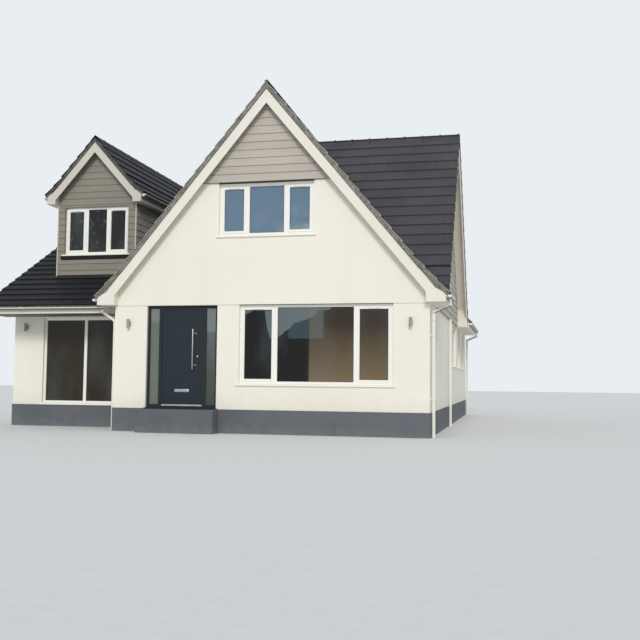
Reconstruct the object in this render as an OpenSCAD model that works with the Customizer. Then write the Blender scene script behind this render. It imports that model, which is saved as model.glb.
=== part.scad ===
// Detached house: a gabled body with a side gable, and a lower wing with a gabled dormer.
// Millimetres. +Z is up, the front faces -Y, and z = 0 is the ground that the house stands on.
// The origin is on the ground, at the left front corner of the body's outside walls.

/* [Body] */
// Width of the gabled body over its outside walls
body_w = 6700; // [6500:50:7100]
// Depth of the gabled body over its outside walls
body_d = 12300; // [12100:50:13000]
// Distance from the front wall to the ridge of the side gable
side_ridge_y = 4510; // [4460:10:4700]
// Thickness of the masonry walls
wall_t = 300; // [250:10:330]
// Thickness of the boarded skins on the gables
boarding_t = 30; // [18:1:40]

/* [Levels] */
// Height of the painted plinth, which is also the ground floor level
plinth_h = 490; // [300:10:600]
// How far the plinth stands out from the walls
plinth_out = 12; // [5:1:25]
// Height of the door and window heads above the ground floor
head_h = 2155; // [2100:5:2200]
// Thickness of the ground floor
ground_floor_t = 200; // [150:10:250]
// Height of the first floor above the ground floor
upper_floor_h = 2600; // [2560:10:2640]
// Thickness of the first floor
upper_floor_t = 250; // [200:10:280]
// Height of the boarding's lower edge on the front gable, above the ground floor
front_boards_h = 4720; // [4700:10:4900]

/* [Main roof] */
// Height of the tiled ridge above the ground floor
ridge_h = 6740; // [6600:10:6900]
// Height of the tiles' eaves edge above the soffit
fascia_h = 174; // [160:1:190]
// How far the kick lifts the eaves edge above the straight slope
kick_lift = 92; // [60:1:110]
// Length on plan of the kicked stretch at the eaves
kick_run = 580; // [450:10:650]
// How far the fascia stands out from the side walls
eaves_out = 330; // [280:10:380]
// How far the tiles run on past the fascia
tile_drip = 50; // [35:5:55]
// How far the front and rear verges stand out from the gable walls
verge_out = 200; // [150:10:260]
// How far the side gable's verge stands out from its wall
side_verge_out = 300; // [250:10:330]
// Thickness of the tiles, battens and boards of every slope
slope_t = 75; // [60:5:90]
// Thickness of the slopes at their eaves edge, measured upright
tip_t = 37; // [30:1:45]
// Pitch of the slopes' underside over the boxed eaves, in degrees
box_pitch = 28; // [24:1:30]
// Height of the soffit above the door and window heads
soffit_up = 10; // [5:1:45]

/* [Wing] */
// Width of the wing over its outside wall
wing_w = 3100; // [2800:50:3300]
// Distance from the front wall back to the wing's front wall
wing_set_back = 1160; // [1060:10:1200]
// Pitch of the wing's roof, in degrees
wing_pitch = 29.5; // [29:0.1:29.9]
// Distance from the front wall back to the wing's eaves edge
wing_eaves_y = 200; // [150:10:300]
// Height of the tiles at the wing's eaves edge, above the ground floor
wing_eaves_h = 2200; // [2180:5:2220]
// Height of the wing's soffit above the ground floor
wing_soffit_h = 2030; // [2005:5:2050]
// How far the wing's verge stands out from its side wall
wing_verge_out = 250; // [200:10:300]

/* [Dormer] */
// Width of the dormer over its cheeks
dormer_w = 2020; // [1960:10:2020]
// Distance from the wing's right end, at the body's wall, to the dormer's right cheek
dormer_gap = 310; // [300:10:330]
// Distance from the front wall back to the dormer's face
dormer_y = 1600; // [1500:10:1700]
// Thickness of the dormer's timber walls
dormer_wall_t = 150; // [120:5:170]
// Height of the dormer's ridge above the ground floor
dormer_ridge_h = 6300; // [6280:10:6400]
// Height of the tiles' eaves edge above the dormer's soffit
dormer_fascia_h = 212; // [190:1:225]
// How far the dormer's kick lifts its eaves edge above the straight slope
dormer_kick_lift = 49; // [30:1:60]
// Length on plan of the dormer's kicked stretch
dormer_kick_run = 300; // [250:10:350]
// How far the dormer's fascia stands out from its cheeks
dormer_eaves_out = 190; // [170:5:200]
// How far the dormer's verges stand out from its end walls
dormer_verge_out = 200; // [150:10:240]
// Height of the dormer's soffit above the ground floor
dormer_soffit_h = 4725; // [4715:5:4740]

/* [Roof edges] */
// Depth of the main bargeboards, square to the slope
barge_depth = 190; // [170:5:210]
// Depth of the dormer's bargeboards, square to the slope
dormer_barge_depth = 165; // [140:5:180]
// Thickness of fascias and bargeboards
board_t = 25; // [18:1:32]
// Thickness of the soffit boards
soffit_t = 15; // [10:1:20]
// How far a boxed end runs in past the corner of the wall
box_inset = 60; // [40:5:80]
// How far a dormer's boxed end runs in past its cheek
dormer_box_inset = 25; // [10:5:40]
// Width of the ridge tiles on each side, measured level
ridge_tile_run = 115; // [90:5:130]
// How far the ridge tiles stand above the slopes, measured upright
ridge_tile_t = 55; // [40:5:60]

/* [Rainwater] */
// Radius of the half-round gutters
gutter_r = 56; // [50:1:62]
// Thickness of the gutters
gutter_t = 5; // [4:1:6]
// How far the gutter's rim lies below the tiles' eaves edge
gutter_drop = 5; // [2:1:10]
// Diameter of the downpipes
pipe_d = 68; // [60:1:80]
// Distance from the wall to a downpipe's near side
pipe_gap = 30; // [20:5:40]

/* [Windows] */
// How far the frames are set back from the wall's face
reveal = 60; // [40:5:80]
// Depth of the frames from front to back
frame_d = 70; // [60:5:80]
// Width of a frame's outer members
frame_w = 50; // [40:5:60]
// Width of an opening light's own frame
sash_w = 48; // [40:4:60]
// How far an opening light stands proud of the frame
sash_proud = 12; // [8:1:20]
// Width of the bars between lights
mullion_w = 66; // [50:2:80]
// Thickness of the glass
glass_t = 24; // [20:1:28]
// Height of a sill's front edge
sill_t = 38; // [30:2:50]
// How far a sill stands out from the wall
sill_out = 40; // [25:5:60]
// How far a sill runs past the opening on each side
sill_ear = 55; // [30:5:80]

/* [Front door] */
// Left edge of the door frame, from the left corner
door_x = 735; // [700:5:800]
// Width of the door leaf
leaf_w = 940; // [900:10:1000]
// Thickness of the door leaf
leaf_t = 56; // [44:2:60]
// Gap round the door leaf
leaf_gap = 8; // [6:0.5:12]
// Width of the obscured glass on each side of the door
sidelight_w = 210; // [190:5:240]
// Width of the posts between the door and its sidelights
door_post_w = 45; // [35:1:55]
// Height of the threshold over the floor
threshold_h = 35; // [25:5:50]
// Length of the bar handle
handle_len = 840; // [700:10:1000]
// Diameter of the bar handle
handle_d = 28; // [22:1:34]
// Distance from the floor to the middle of the bar handle
handle_h = 1240; // [1100:10:1300]
// How far the handle's feet stand beside the bar, towards the lock
handle_crank = 45; // [30:5:60]
// Depth of the door step from front to back
step_d = 350; // [300:10:500]
// How far the door step runs past the door frame on each side
step_side = 60; // [30:10:120]
// Diameter of the door's hinge barrels
hinge_d = 20; // [16:1:22]

/* [Hidden] */
$fn = 48;

RENDER = "#EFEBDD";
BOARDS = "#B5B0A3";
TILES = "#4B484D";
WHITE = "#F3F0E6";
PLINTH = "#6C7075";
DOOR = "#343B40";
FRAME = "#33373A";
GLASS = "#5B6770";
STEEL = "#C9CBCC";
FLOOR = "#A9A39A";
// Overlap of a cut past the face that it opens
cut = 10;
// A height above every roof, for blocks that a roof then trims
sky = 12000;
// Gap left between a sloping face and the pieces that are trimmed to it
seat_gap = 0.3;

// Levels from the ground
head_z = plinth_h + head_h;
upper_z = plinth_h + upper_floor_h;
ridge_z = plinth_h + ridge_h;
soffit_z = head_z + soffit_up;
wing_soffit_z = plinth_h + wing_soffit_h;
dormer_soffit_z = plinth_h + dormer_soffit_h;
front_boards_z = plinth_h + front_boards_h;

// Plan of the body and its roofs
body_half = body_w / 2;
roof_run = body_half + eaves_out + tile_drip;
fascia_run = body_half + eaves_out;
pitch = atan((ridge_z - soffit_z - fascia_h + kick_lift) / roof_run);
kick_pitch = atan(tan(pitch) - kick_lift / kick_run);
gable_y0 = side_ridge_y - body_half;
gable_y1 = side_ridge_y + body_half;
verge_y0 = -verge_out;
verge_y1 = body_d + verge_out;
side_verge_x = body_w + side_verge_out;

// Plan of the wing, whose back half mirrors its front half about the side ridge
wing_x0 = -wing_w;
wing_verge_x = wing_x0 - wing_verge_out;
wing_y0 = wing_set_back;
wing_y1 = 2 * side_ridge_y - wing_set_back;
wing_run = side_ridge_y - wing_eaves_y;
wing_half = side_ridge_y - wing_set_back;
wing_fascia_run = wing_run - tile_drip;
wing_ridge_z = plinth_h + wing_eaves_h + wing_run * tan(wing_pitch);

// Plan of the dormer
dormer_x1 = -dormer_gap;
dormer_x0 = dormer_x1 - dormer_w;
dormer_ridge_x = (dormer_x0 + dormer_x1) / 2;
dormer_half = dormer_w / 2;
dormer_run = dormer_half + dormer_eaves_out + tile_drip;
dormer_fascia_run = dormer_half + dormer_eaves_out;
dormer_y1 = 2 * side_ridge_y - dormer_y;
dormer_ridge_z = plinth_h + dormer_ridge_h;
dormer_verge_y0 = dormer_y - dormer_verge_out;
dormer_verge_y1 = dormer_y1 + dormer_verge_out;
dormer_pitch = atan((dormer_ridge_z - dormer_soffit_z - dormer_fascia_h + dormer_kick_lift)
    / dormer_run);
dormer_kick_pitch = atan(tan(dormer_pitch) - dormer_kick_lift / dormer_kick_run);

// A roof's form: run from ridge to eaves, height of the ridge, pitch, run and pitch of the kick,
// and pitch of the underside over the boxed eaves. The wing's roof has no kick.
MAIN = [roof_run, ridge_z, pitch, kick_run, kick_pitch, box_pitch];
WING = [wing_run, wing_ridge_z, wing_pitch, 0, wing_pitch, 0];
DORMER = [dormer_run, dormer_ridge_z, dormer_pitch, dormer_kick_run, dormer_kick_pitch, box_pitch];

// Height of a roof's tiled face at a distance from the ridge
function tile_z(roof, run) = roof[1] - tan(roof[2]) * min(run, roof[0] - roof[3])
    - tan(roof[4]) * max(0, run - roof[0] + roof[3]);
// The underside runs straight down from the ridge, and turns flatter over the boxed eaves
function ridge_under_z(roof) = roof[1] - slope_t / cos(roof[2]);
function tip_under_z(roof) = tile_z(roof, roof[0]) - tip_t;
function turn_run(roof) = (ridge_under_z(roof) - tip_under_z(roof) - tan(roof[5]) * roof[0])
    / (tan(roof[2]) - tan(roof[5]));
function under_z(roof, run) = run < turn_run(roof)
    ? ridge_under_z(roof) - tan(roof[2]) * run
    : tip_under_z(roof) + tan(roof[5]) * (roof[0] - run);
// Height to which the pieces under a slope reach
function seat_z(roof, run) = under_z(roof, run) - seat_gap;
// Distances from the ridge at which the tiled face and the underside change pitch
function tiled_runs(roof) = roof[3] > 0 ? [0, roof[0] - roof[3], roof[0]] : [0, roof[0]];
function under_runs(roof, last) = last > turn_run(roof) ? [0, turn_run(roof), last] : [0, last];
function reversed(list) = [for (i = [len(list) - 1:-1:0]) list[i]];

// Windows: [left edge, lower edge above the floor, width, height, list of lights]
// A light is [share of the width where it ends, whether it opens].
THREE_LIGHTS = [[0.24, true], [0.76, false], [1, true]];
TWO_LIGHTS = [[0.5, false], [1, false]];
BIG_WINDOW = [2779, 530, 3195, head_h - 530, THREE_LIGHTS];
UPPER_WINDOW = [2299, 3606, 2041, 1084, [[0.3, true], [0.7, false], [1, true]]];
WING_WINDOW = [wing_x0 + 745, sill_t, 2078, wing_soffit_h - 30 - sill_t, TWO_LIGHTS];
DORMER_WINDOW = [dormer_x0 + 185, 3545, 1630, 1125, [[0.335, true], [0.665, false], [1, true]]];
// Side windows are measured along the wall: two wide ones, and a narrow one halfway between them
side_window_w = 1400;
narrow_window_w = 900;
side_sill_h = 1038;
front_pier = 6250;
rear_pier = 650;
between_windows = body_d - front_pier - rear_pier - 2 * side_window_w - narrow_window_w;
side_light_h = head_h - side_sill_h;
SIDE_WINDOWS = [
    [front_pier, side_sill_h, side_window_w, side_light_h, [[0.5, true], [1, true]]],
    [front_pier + side_window_w + between_windows / 2, side_sill_h, narrow_window_w,
        side_light_h, [[1, true]]],
    [body_d - rear_pier - side_window_w, side_sill_h, side_window_w, side_light_h,
        [[0.5, true], [1, true]]]];

// Front door, from the frame's left edge to its right edge
door_w = 2 * (frame_w + sidelight_w + door_post_w) + leaf_w + 2 * leaf_gap;
door_x1 = door_x + door_w;
leaf_x0 = door_x + frame_w + sidelight_w + door_post_w + leaf_gap;
leaf_x1 = leaf_x0 + leaf_w;
leaf_z0 = plinth_h + threshold_h + leaf_gap;
leaf_z1 = head_z - frame_w - leaf_gap;
// The leaf lies against the inner side of its frame and swings inwards
frame_y0 = reveal;
frame_y1 = reveal + frame_d;
leaf_y1 = frame_y1;
leaf_y0 = leaf_y1 - leaf_t;
// The hinges' axis stands inside the frame, in front of the middle of the gap at the leaf
hinge_x = leaf_x0 - leaf_gap / 2;
hinge_y = leaf_y1 + hinge_d / 2;
hinge_zs = [leaf_z0 + 180, (leaf_z0 + leaf_z1) / 2, leaf_z1 - 280];

// Extrusions of an outline drawn as seen along the ridge, upright side up
module along_y(y0, y1) {
    translate([0, y1, 0]) rotate([90, 0, 0]) linear_extrude(y1 - y0) children();
}

module along_x(x0, x1) {
    translate([x0, 0, 0]) rotate([90, 0, 90]) linear_extrude(x1 - x0) children();
}

module block(x0, x1, y0, y1, z0, z1) {
    translate([x0, y0, z0]) cube([x1 - x0, y1 - y0, z1 - z0]);
}

// Outline of one tiled slope, from the ridge at 0 to the eaves
module slope_outline(roof) {
    polygon(concat([for (run = tiled_runs(roof)) [run, tile_z(roof, run)]],
        [for (run = reversed(under_runs(roof, roof[0]))) [run, under_z(roof, run)]]));
}

// Outline of all that lies under both slopes' lower faces, or under their tiled faces
module space_outline(roof, ridge, tiled = false) {
    half = tiled ? [for (run = tiled_runs(roof)) [run, tile_z(roof, run) + seat_gap]]
        : [for (run = under_runs(roof, roof[0])) [run, seat_z(roof, run)]];
    polygon(concat([[ridge - roof[0], 0]],
        [for (point = reversed(half)) [ridge - point[0], point[1]]],
        [for (point = half) if (point[0] > 0) [ridge + point[0], point[1]]],
        [[ridge + roof[0], 0]]));
}

module both_sides(ridge) {
    translate([ridge, 0]) children();
    translate([ridge, 0]) mirror([1, 0]) children();
}

module main_space() {
    along_y(verge_y0, verge_y1) space_outline(MAIN, body_half);
}

module side_space() {
    along_x(body_half, side_verge_x) space_outline(MAIN, side_ridge_y);
}

module wing_space() {
    along_x(wing_verge_x, 0) space_outline(WING, side_ridge_y);
}

module dormer_space() {
    along_y(dormer_verge_y0, dormer_verge_y1) space_outline(DORMER, dormer_ridge_x);
}

// Copies a piece of the front half to the rear, about the side ridge or about the body's middle
module about_side_ridge() {
    children();
    translate([0, 2 * side_ridge_y, 0]) mirror([0, 1, 0]) children();
}

module about_body_middle() {
    children();
    translate([0, body_d, 0]) mirror([0, 1, 0]) children();
}

module rear_of_body() {
    translate([0, body_d, 0]) mirror([0, 1, 0]) children();
}

module rear_of_wing() {
    translate([0, 2 * side_ridge_y, 0]) mirror([0, 1, 0]) children();
}

// Turns a piece made for a front wall so that it stands in the right-hand side wall
module in_right_wall() {
    translate([body_w, 0, 0]) rotate([0, 0, 90]) children();
}

module hole(window, y0, y1) {
    block(window[0], window[0] + window[2], y0 - cut, y1 + cut,
        plinth_h + window[1], plinth_h + window[1] + window[3]);
}

module plinth() {
    color(PLINTH) difference() {
        union() {
            block(-plinth_out, body_w + plinth_out, -plinth_out, body_d + plinth_out,
                0, plinth_h);
            block(wing_x0 - plinth_out, 0, wing_y0 - plinth_out, wing_y1 + plinth_out,
                0, plinth_h);
        }
        block(wall_t, body_w - wall_t, wall_t, body_d - wall_t, -cut, plinth_h + cut);
        block(wing_x0 + wall_t, 0, wing_y0 + wall_t, wing_y1 - wall_t, -cut, plinth_h + cut);
    }
}

module ground_floor() {
    color(FLOOR) {
        block(wall_t, body_w - wall_t, wall_t, body_d - wall_t,
            plinth_h - ground_floor_t, plinth_h);
        block(wing_x0 + wall_t, 0, wing_y0 + wall_t, wing_y1 - wall_t,
            plinth_h - ground_floor_t, plinth_h);
    }
}

module first_floor() {
    color(FLOOR) {
        block(wall_t, body_w - wall_t, wall_t, body_d - wall_t, upper_z - upper_floor_t, upper_z);
        intersection() {
            block(wing_x0 + wall_t, 0, wing_y0 + wall_t, wing_y1 - wall_t,
                upper_z - upper_floor_t, upper_z);
            wing_space();
        }
    }
}

module front_wall_left() {
    color(RENDER) block(0, door_x, 0, wall_t, plinth_h, head_z);
}

module front_wall_right() {
    color(RENDER) difference() {
        block(door_x1, body_w, 0, wall_t, plinth_h, head_z);
        hole([BIG_WINDOW[0], BIG_WINDOW[1] - sill_t, BIG_WINDOW[2], BIG_WINDOW[3] + sill_t + cut],
            0, wall_t);
    }
}

// The part of an end wall over the door and window heads, up to the roof
module end_gable() {
    intersection() {
        block(0, body_w, 0, wall_t, head_z, sky);
        main_space();
    }
}

module upper_hole() {
    hole([UPPER_WINDOW[0], UPPER_WINDOW[1] - sill_t, UPPER_WINDOW[2], UPPER_WINDOW[3] + sill_t],
        -boarding_t, wall_t);
}

module front_gable_wall() {
    color(RENDER) difference() {
        end_gable();
        upper_hole();
    }
}

module right_wall() {
    color(RENDER) difference() {
        block(body_w - wall_t, body_w, wall_t, body_d - wall_t, plinth_h, head_z);
        for (window = SIDE_WINDOWS)
            in_right_wall() hole([window[0], window[1] - sill_t, window[2],
                window[3] + sill_t + cut], 0, wall_t);
    }
}

module right_gable_wall() {
    color(RENDER) intersection() {
        block(body_w - wall_t, body_w, wall_t, body_d - wall_t, head_z, sky);
        union() {
            main_space();
            side_space();
        }
    }
}

// The wing opens to the body under a beam, between two piers
module left_wall() {
    pier_w = 400;
    color(RENDER) difference() {
        intersection() {
            block(0, wall_t, wall_t, body_d - wall_t, plinth_h, sky);
            main_space();
        }
        block(-cut, wall_t + cut, wing_y0 + wall_t + pier_w, wing_y1 - wall_t - pier_w,
            plinth_h - cut, head_z);
    }
}

module rear_wall() {
    color(RENDER) rear_of_body() difference() {
        block(0, body_w, 0, wall_t, plinth_h, head_z);
        hole([BIG_WINDOW[0], BIG_WINDOW[1] - sill_t, BIG_WINDOW[2], BIG_WINDOW[3] + sill_t + cut],
            0, wall_t);
    }
}

module rear_gable_wall() {
    color(RENDER) rear_of_body() difference() {
        end_gable();
        upper_hole();
    }
}

// Boarded skins: the top of the front and rear gables, and all of the side gable
module gable_boards() {
    color(BOARDS) {
        about_body_middle() difference() {
            intersection() {
                block(0, body_w, -boarding_t, 0, front_boards_z, sky);
                along_y(-boarding_t, 0) under_soffit() space_outline(MAIN, body_half);
            }
            upper_hole();
        }
        intersection() {
            block(body_w, body_w + boarding_t, gable_y0 + box_inset, gable_y1 - box_inset,
                soffit_z, sky);
            along_x(body_w, body_w + boarding_t)
                under_soffit() space_outline(MAIN, side_ridge_y);
        }
    }
}

module under_soffit() {
    translate([0, -soffit_t]) children();
}

module wing_end_wall() {
    difference() {
        intersection() {
            block(wing_x0, 0, wing_y0, wing_y0 + wall_t, plinth_h, sky);
            wing_space();
        }
        translate([0, wing_y0, 0]) hole([WING_WINDOW[0], -cut, WING_WINDOW[2],
            WING_WINDOW[1] + WING_WINDOW[3] + cut], 0, wall_t);
    }
}

module wing_front_wall() {
    color(RENDER) wing_end_wall();
}

module wing_rear_wall() {
    color(RENDER) rear_of_wing() wing_end_wall();
}

module wing_side_wall() {
    color(RENDER) intersection() {
        block(wing_x0, wing_x0 + wall_t, wing_y0 + wall_t, wing_y1 - wall_t, plinth_h, sky);
        wing_space();
    }
}

module dormer_end_wall() {
    difference() {
        intersection() {
            block(dormer_x0, dormer_x1, dormer_y, dormer_y + dormer_wall_t, upper_z, sky);
            dormer_space();
        }
        translate([0, dormer_y, 0]) hole([DORMER_WINDOW[0], DORMER_WINDOW[1] - sill_t,
            DORMER_WINDOW[2], DORMER_WINDOW[3] + sill_t], 0, dormer_wall_t);
    }
}

module dormer_end_walls() {
    color(BOARDS) about_side_ridge() dormer_end_wall();
}

module dormer_cheeks() {
    color(BOARDS) intersection() {
        for (x = [dormer_x0, dormer_x1 - dormer_wall_t])
            block(x, x + dormer_wall_t, dormer_y + dormer_wall_t, dormer_y1 - dormer_wall_t,
                upper_z, sky);
        dormer_space();
    }
}

// Wedge on plan where the side gable's roof takes over from the main slope
module valley_wedge() {
    reach = roof_run + cut;
    linear_extrude(sky) polygon([[body_half, side_ridge_y],
        [body_half + reach, side_ridge_y - reach], [body_half + reach, side_ridge_y + reach]]);
}

// The main slope's left eaves stop at the wing, whose rooms lie there
module main_roof_left() {
    color(TILES) difference() {
        along_y(verge_y0, verge_y1)
            translate([body_half, 0]) mirror([1, 0]) slope_outline(MAIN);
        block(-roof_run, 0, wing_y0, wing_y1, 0, sky);
    }
}

module main_roof_right_front() {
    color(TILES) difference() {
        along_y(verge_y0, side_ridge_y) translate([body_half, 0]) slope_outline(MAIN);
        valley_wedge();
    }
}

module main_roof_right_rear() {
    color(TILES) difference() {
        along_y(side_ridge_y, verge_y1) translate([body_half, 0]) slope_outline(MAIN);
        valley_wedge();
    }
}

module side_roof_front() {
    color(TILES) intersection() {
        along_x(body_half, side_verge_x)
            translate([side_ridge_y, 0]) mirror([1, 0]) slope_outline(MAIN);
        valley_wedge();
    }
}

module side_roof_rear() {
    color(TILES) intersection() {
        along_x(body_half, side_verge_x) translate([side_ridge_y, 0]) slope_outline(MAIN);
        valley_wedge();
    }
}

// All that lies under the tiled faces of the main roof
module under_main_tiles() {
    along_y(verge_y0, verge_y1) space_outline(MAIN, body_half, true);
}

// What a piece of the wing's roof is cut back to: the dormer, and the main slope's tiles
module wing_roof_cuts() {
    block(dormer_x0, dormer_x1, dormer_y, dormer_y1, 0, sky);
    under_main_tiles();
}

module wing_slope() {
    difference() {
        along_x(wing_verge_x, body_half)
            translate([side_ridge_y, 0]) mirror([1, 0]) slope_outline(WING);
        wing_roof_cuts();
    }
}

module wing_roof_front() {
    color(TILES) wing_slope();
}

module wing_roof_rear() {
    color(TILES) rear_of_wing() wing_slope();
}

module dormer_roof_left() {
    color(TILES) along_y(dormer_verge_y0, dormer_verge_y1)
        translate([dormer_ridge_x, 0]) mirror([1, 0]) slope_outline(DORMER);
}

module dormer_roof_right() {
    color(TILES) along_y(dormer_verge_y0, dormer_verge_y1)
        translate([dormer_ridge_x, 0]) slope_outline(DORMER);
}

// Outline of a ridge tile, which lies on the tiles of both slopes
module ridge_outline(roof) {
    polygon([[0, tile_z(roof, 0) + seat_gap],
        [ridge_tile_run, tile_z(roof, ridge_tile_run) + seat_gap],
        [ridge_tile_run, tile_z(roof, ridge_tile_run) + ridge_tile_t],
        [0, tile_z(roof, 0) + ridge_tile_t]]);
}

module ridge_tiles() {
    color(TILES) {
        difference() {
            along_y(verge_y0, verge_y1) both_sides(body_half) ridge_outline(MAIN);
            along_x(body_half, side_verge_x) space_outline(MAIN, side_ridge_y, true);
        }
        along_x(body_half + ridge_tile_run, side_verge_x)
            both_sides(side_ridge_y) ridge_outline(MAIN);
        difference() {
            along_x(wing_verge_x, body_half) both_sides(side_ridge_y) ridge_outline(WING);
            wing_roof_cuts();
        }
        along_y(dormer_verge_y0, dormer_verge_y1)
            both_sides(dormer_ridge_x) ridge_outline(DORMER);
    }
}

// Outline of a band of even depth that hangs under a slope from the ridge, with its boxed end
// between two runs, from the soffit up to the slope
module boxed_band(roof, depth, run0, run1, soffit) {
    polygon(concat([for (run = under_runs(roof, run1)) [run, seat_z(roof, run)]],
        [[run1, soffit], [run0, soffit]],
        [for (run = reversed(under_runs(roof, run0))) [run, under_z(roof, run) - depth]]));
}

// Outline of a boxed eaves end between two runs, from the soffit up to the slope
module box_outline(roof, run0, run1, soffit) {
    runs = [for (run = concat([run0], under_runs(roof, run1))) if (run >= run0) run];
    polygon(concat([[run0, soffit]], [for (run = runs) [run, seat_z(roof, run)]],
        [[run1, soffit]]));
}

// A bargeboard with its boxed end, seen from the front
module barge_outline(roof, depth, wall_run, inset, fascia, soffit) {
    boxed_band(roof, depth / cos(roof[2]), wall_run - inset, fascia, soffit);
}

// Soffit boards under a verge, with the return that closes the boxed end beside the wall
module verge_soffit_outline(roof, wall_run, inset, fascia, soffit) {
    intersection() {
        boxed_band(roof, soffit_t, wall_run - inset, fascia, soffit);
        square([wall_run, sky]);
    }
}

module end_bargeboards() {
    along_y(verge_y0, verge_y0 + board_t) both_sides(body_half)
        barge_outline(MAIN, barge_depth, body_half, box_inset, fascia_run, soffit_z);
    along_y(verge_y0 + board_t, 0) both_sides(body_half)
        verge_soffit_outline(MAIN, body_half, box_inset, fascia_run, soffit_z);
}

module side_bargeboards() {
    along_x(side_verge_x - board_t, side_verge_x) both_sides(side_ridge_y)
        barge_outline(MAIN, barge_depth, body_half, box_inset, fascia_run, soffit_z);
    along_x(body_w, side_verge_x - board_t) both_sides(side_ridge_y)
        boxed_band(MAIN, soffit_t, body_half - box_inset, fascia_run, soffit_z);
}

module wing_bargeboards() {
    along_x(wing_verge_x, wing_verge_x + board_t) both_sides(side_ridge_y)
        barge_outline(WING, barge_depth, wing_half, box_inset, wing_fascia_run, wing_soffit_z);
    along_x(wing_verge_x + board_t, wing_x0) both_sides(side_ridge_y)
        verge_soffit_outline(WING, wing_half, box_inset, wing_fascia_run, wing_soffit_z);
}

module dormer_bargeboards() {
    along_y(dormer_verge_y0, dormer_verge_y0 + board_t) both_sides(dormer_ridge_x)
        barge_outline(DORMER, dormer_barge_depth, dormer_half, dormer_box_inset,
            dormer_fascia_run, dormer_soffit_z);
    along_y(dormer_verge_y0 + board_t, dormer_y) both_sides(dormer_ridge_x)
        verge_soffit_outline(DORMER, dormer_half, dormer_box_inset, dormer_fascia_run,
            dormer_soffit_z);
}

module main_bargeboards() {
    color(WHITE) {
        about_body_middle() end_bargeboards();
        side_bargeboards();
    }
}

module wing_and_dormer_bargeboards() {
    color(WHITE) {
        wing_bargeboards();
        about_side_ridge() dormer_bargeboards();
    }
}

// Outline of a fascia with the soffit board behind it
module eaves_outline(roof, wall_run, fascia, soffit) {
    box_outline(roof, fascia - board_t, fascia, soffit);
    translate([wall_run, soffit]) square([fascia - wall_run - board_t, soffit_t]);
}

module eaves_boards() {
    color(WHITE) {
        translate([body_half, 0, 0]) mirror([1, 0, 0]) {
            along_y(verge_y0 + board_t, wing_y0) main_eaves_outline();
            along_y(wing_y1, verge_y1 - board_t) main_eaves_outline();
        }
        translate([body_half, 0, 0]) {
            along_y(verge_y0 + board_t, side_ridge_y - fascia_run) main_eaves_outline();
            along_y(side_ridge_y + fascia_run, verge_y1 - board_t) main_eaves_outline();
        }
        along_x(wing_verge_x + board_t, -eaves_out) both_sides(side_ridge_y)
            eaves_outline(WING, wing_half, wing_fascia_run, wing_soffit_z);
        along_y(dormer_verge_y0 + board_t, dormer_verge_y1 - board_t)
            both_sides(dormer_ridge_x)
                eaves_outline(DORMER, dormer_half, dormer_fascia_run, dormer_soffit_z);
    }
}

module main_eaves_outline() {
    eaves_outline(MAIN, body_half, fascia_run, soffit_z);
}

function rim_z(roof) = tip_under_z(roof) - gutter_drop;

// A half-round gutter against a fascia, and the outline of its closed ends
module gutter_outline(roof, fascia, filled = false) {
    translate([fascia + gutter_r, rim_z(roof)]) intersection() {
        difference() {
            circle(gutter_r);
            if (!filled) circle(gutter_r - gutter_t);
        }
        translate([-gutter_r, -gutter_r]) square([2 * gutter_r, gutter_r]);
    }
}

module gutter_along_y(roof, fascia, y0, y1) {
    along_y(y0, y1) gutter_outline(roof, fascia);
    for (y = [y0, y1 - gutter_t])
        along_y(y, y + gutter_t) gutter_outline(roof, fascia, true);
}

module gutter_along_x(roof, fascia, x0, x1) {
    along_x(x0, x1) gutter_outline(roof, fascia);
    for (x = [x0, x1 - gutter_t])
        along_x(x, x + gutter_t) gutter_outline(roof, fascia, true);
}

// The short left gutters end where the wing's eaves pass under them
module gutters() {
    left_gutter_end = wing_eaves_y - 60;
    color(WHITE) {
        translate([body_half, 0, 0]) mirror([1, 0, 0]) {
            gutter_along_y(MAIN, fascia_run, verge_y0, left_gutter_end);
            gutter_along_y(MAIN, fascia_run, 2 * side_ridge_y - left_gutter_end, verge_y1);
        }
        translate([body_half, 0, 0]) {
            gutter_along_y(MAIN, fascia_run, verge_y0, side_ridge_y - fascia_run);
            gutter_along_y(MAIN, fascia_run, side_ridge_y + fascia_run, verge_y1);
        }
        for (turn = [0, 1])
            translate([0, side_ridge_y, 0]) mirror([0, turn, 0])
                gutter_along_x(WING, wing_fascia_run, wing_verge_x, -eaves_out);
        for (turn = [0, 1])
            translate([dormer_ridge_x, 0, 0]) mirror([turn, 0, 0])
                gutter_along_y(DORMER, dormer_fascia_run, dormer_verge_y0, dormer_verge_y1);
    }
}

// A straight length of round pipe between two points
module pipe_length(from, to) {
    run = to - from;
    flat = norm([run[0], run[1]]);
    translate(from) rotate([0, atan2(flat, run[2]), atan2(run[1], run[0])])
        cylinder(d = pipe_d, h = norm(run));
}

// A downpipe through a list of points, with a round elbow at each bend
module pipe(points) {
    elbow_swell = 12;
    for (i = [0:len(points) - 2]) pipe_length(points[i], points[i + 1]);
    for (i = [1:1:len(points) - 2]) translate(points[i]) sphere(d = pipe_d + elbow_swell);
}

// A swan neck leaves the gutter upright, then leans in to the wall
pipe_off = pipe_gap + pipe_d / 2;
neck_top = 120;
neck_drop = 260;

// Clips that hold a pipe to a wall whose face is at x
module pipe_clips(x_wall, x_pipe, y) {
    clip_h = 30;
    clip_w = 40;
    for (z = [plinth_h + 250, plinth_h + 1500])
        block(min(x_wall, x_pipe), max(x_wall, x_pipe), y - clip_w / 2, y + clip_w / 2,
            z, z + clip_h);
}

// From a side gutter, under the soffit and down the wall near a corner of the body
module side_downpipe(y) {
    x_top = body_w + eaves_out + gutter_r;
    z_top = rim_z(MAIN) - gutter_r;
    pipe([[x_top, y, z_top], [x_top, y, z_top - neck_top],
        [body_w + pipe_off, y, z_top - neck_drop], [body_w + pipe_off, y, 0]]);
    pipe_clips(body_w, body_w + pipe_off, y);
}

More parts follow.
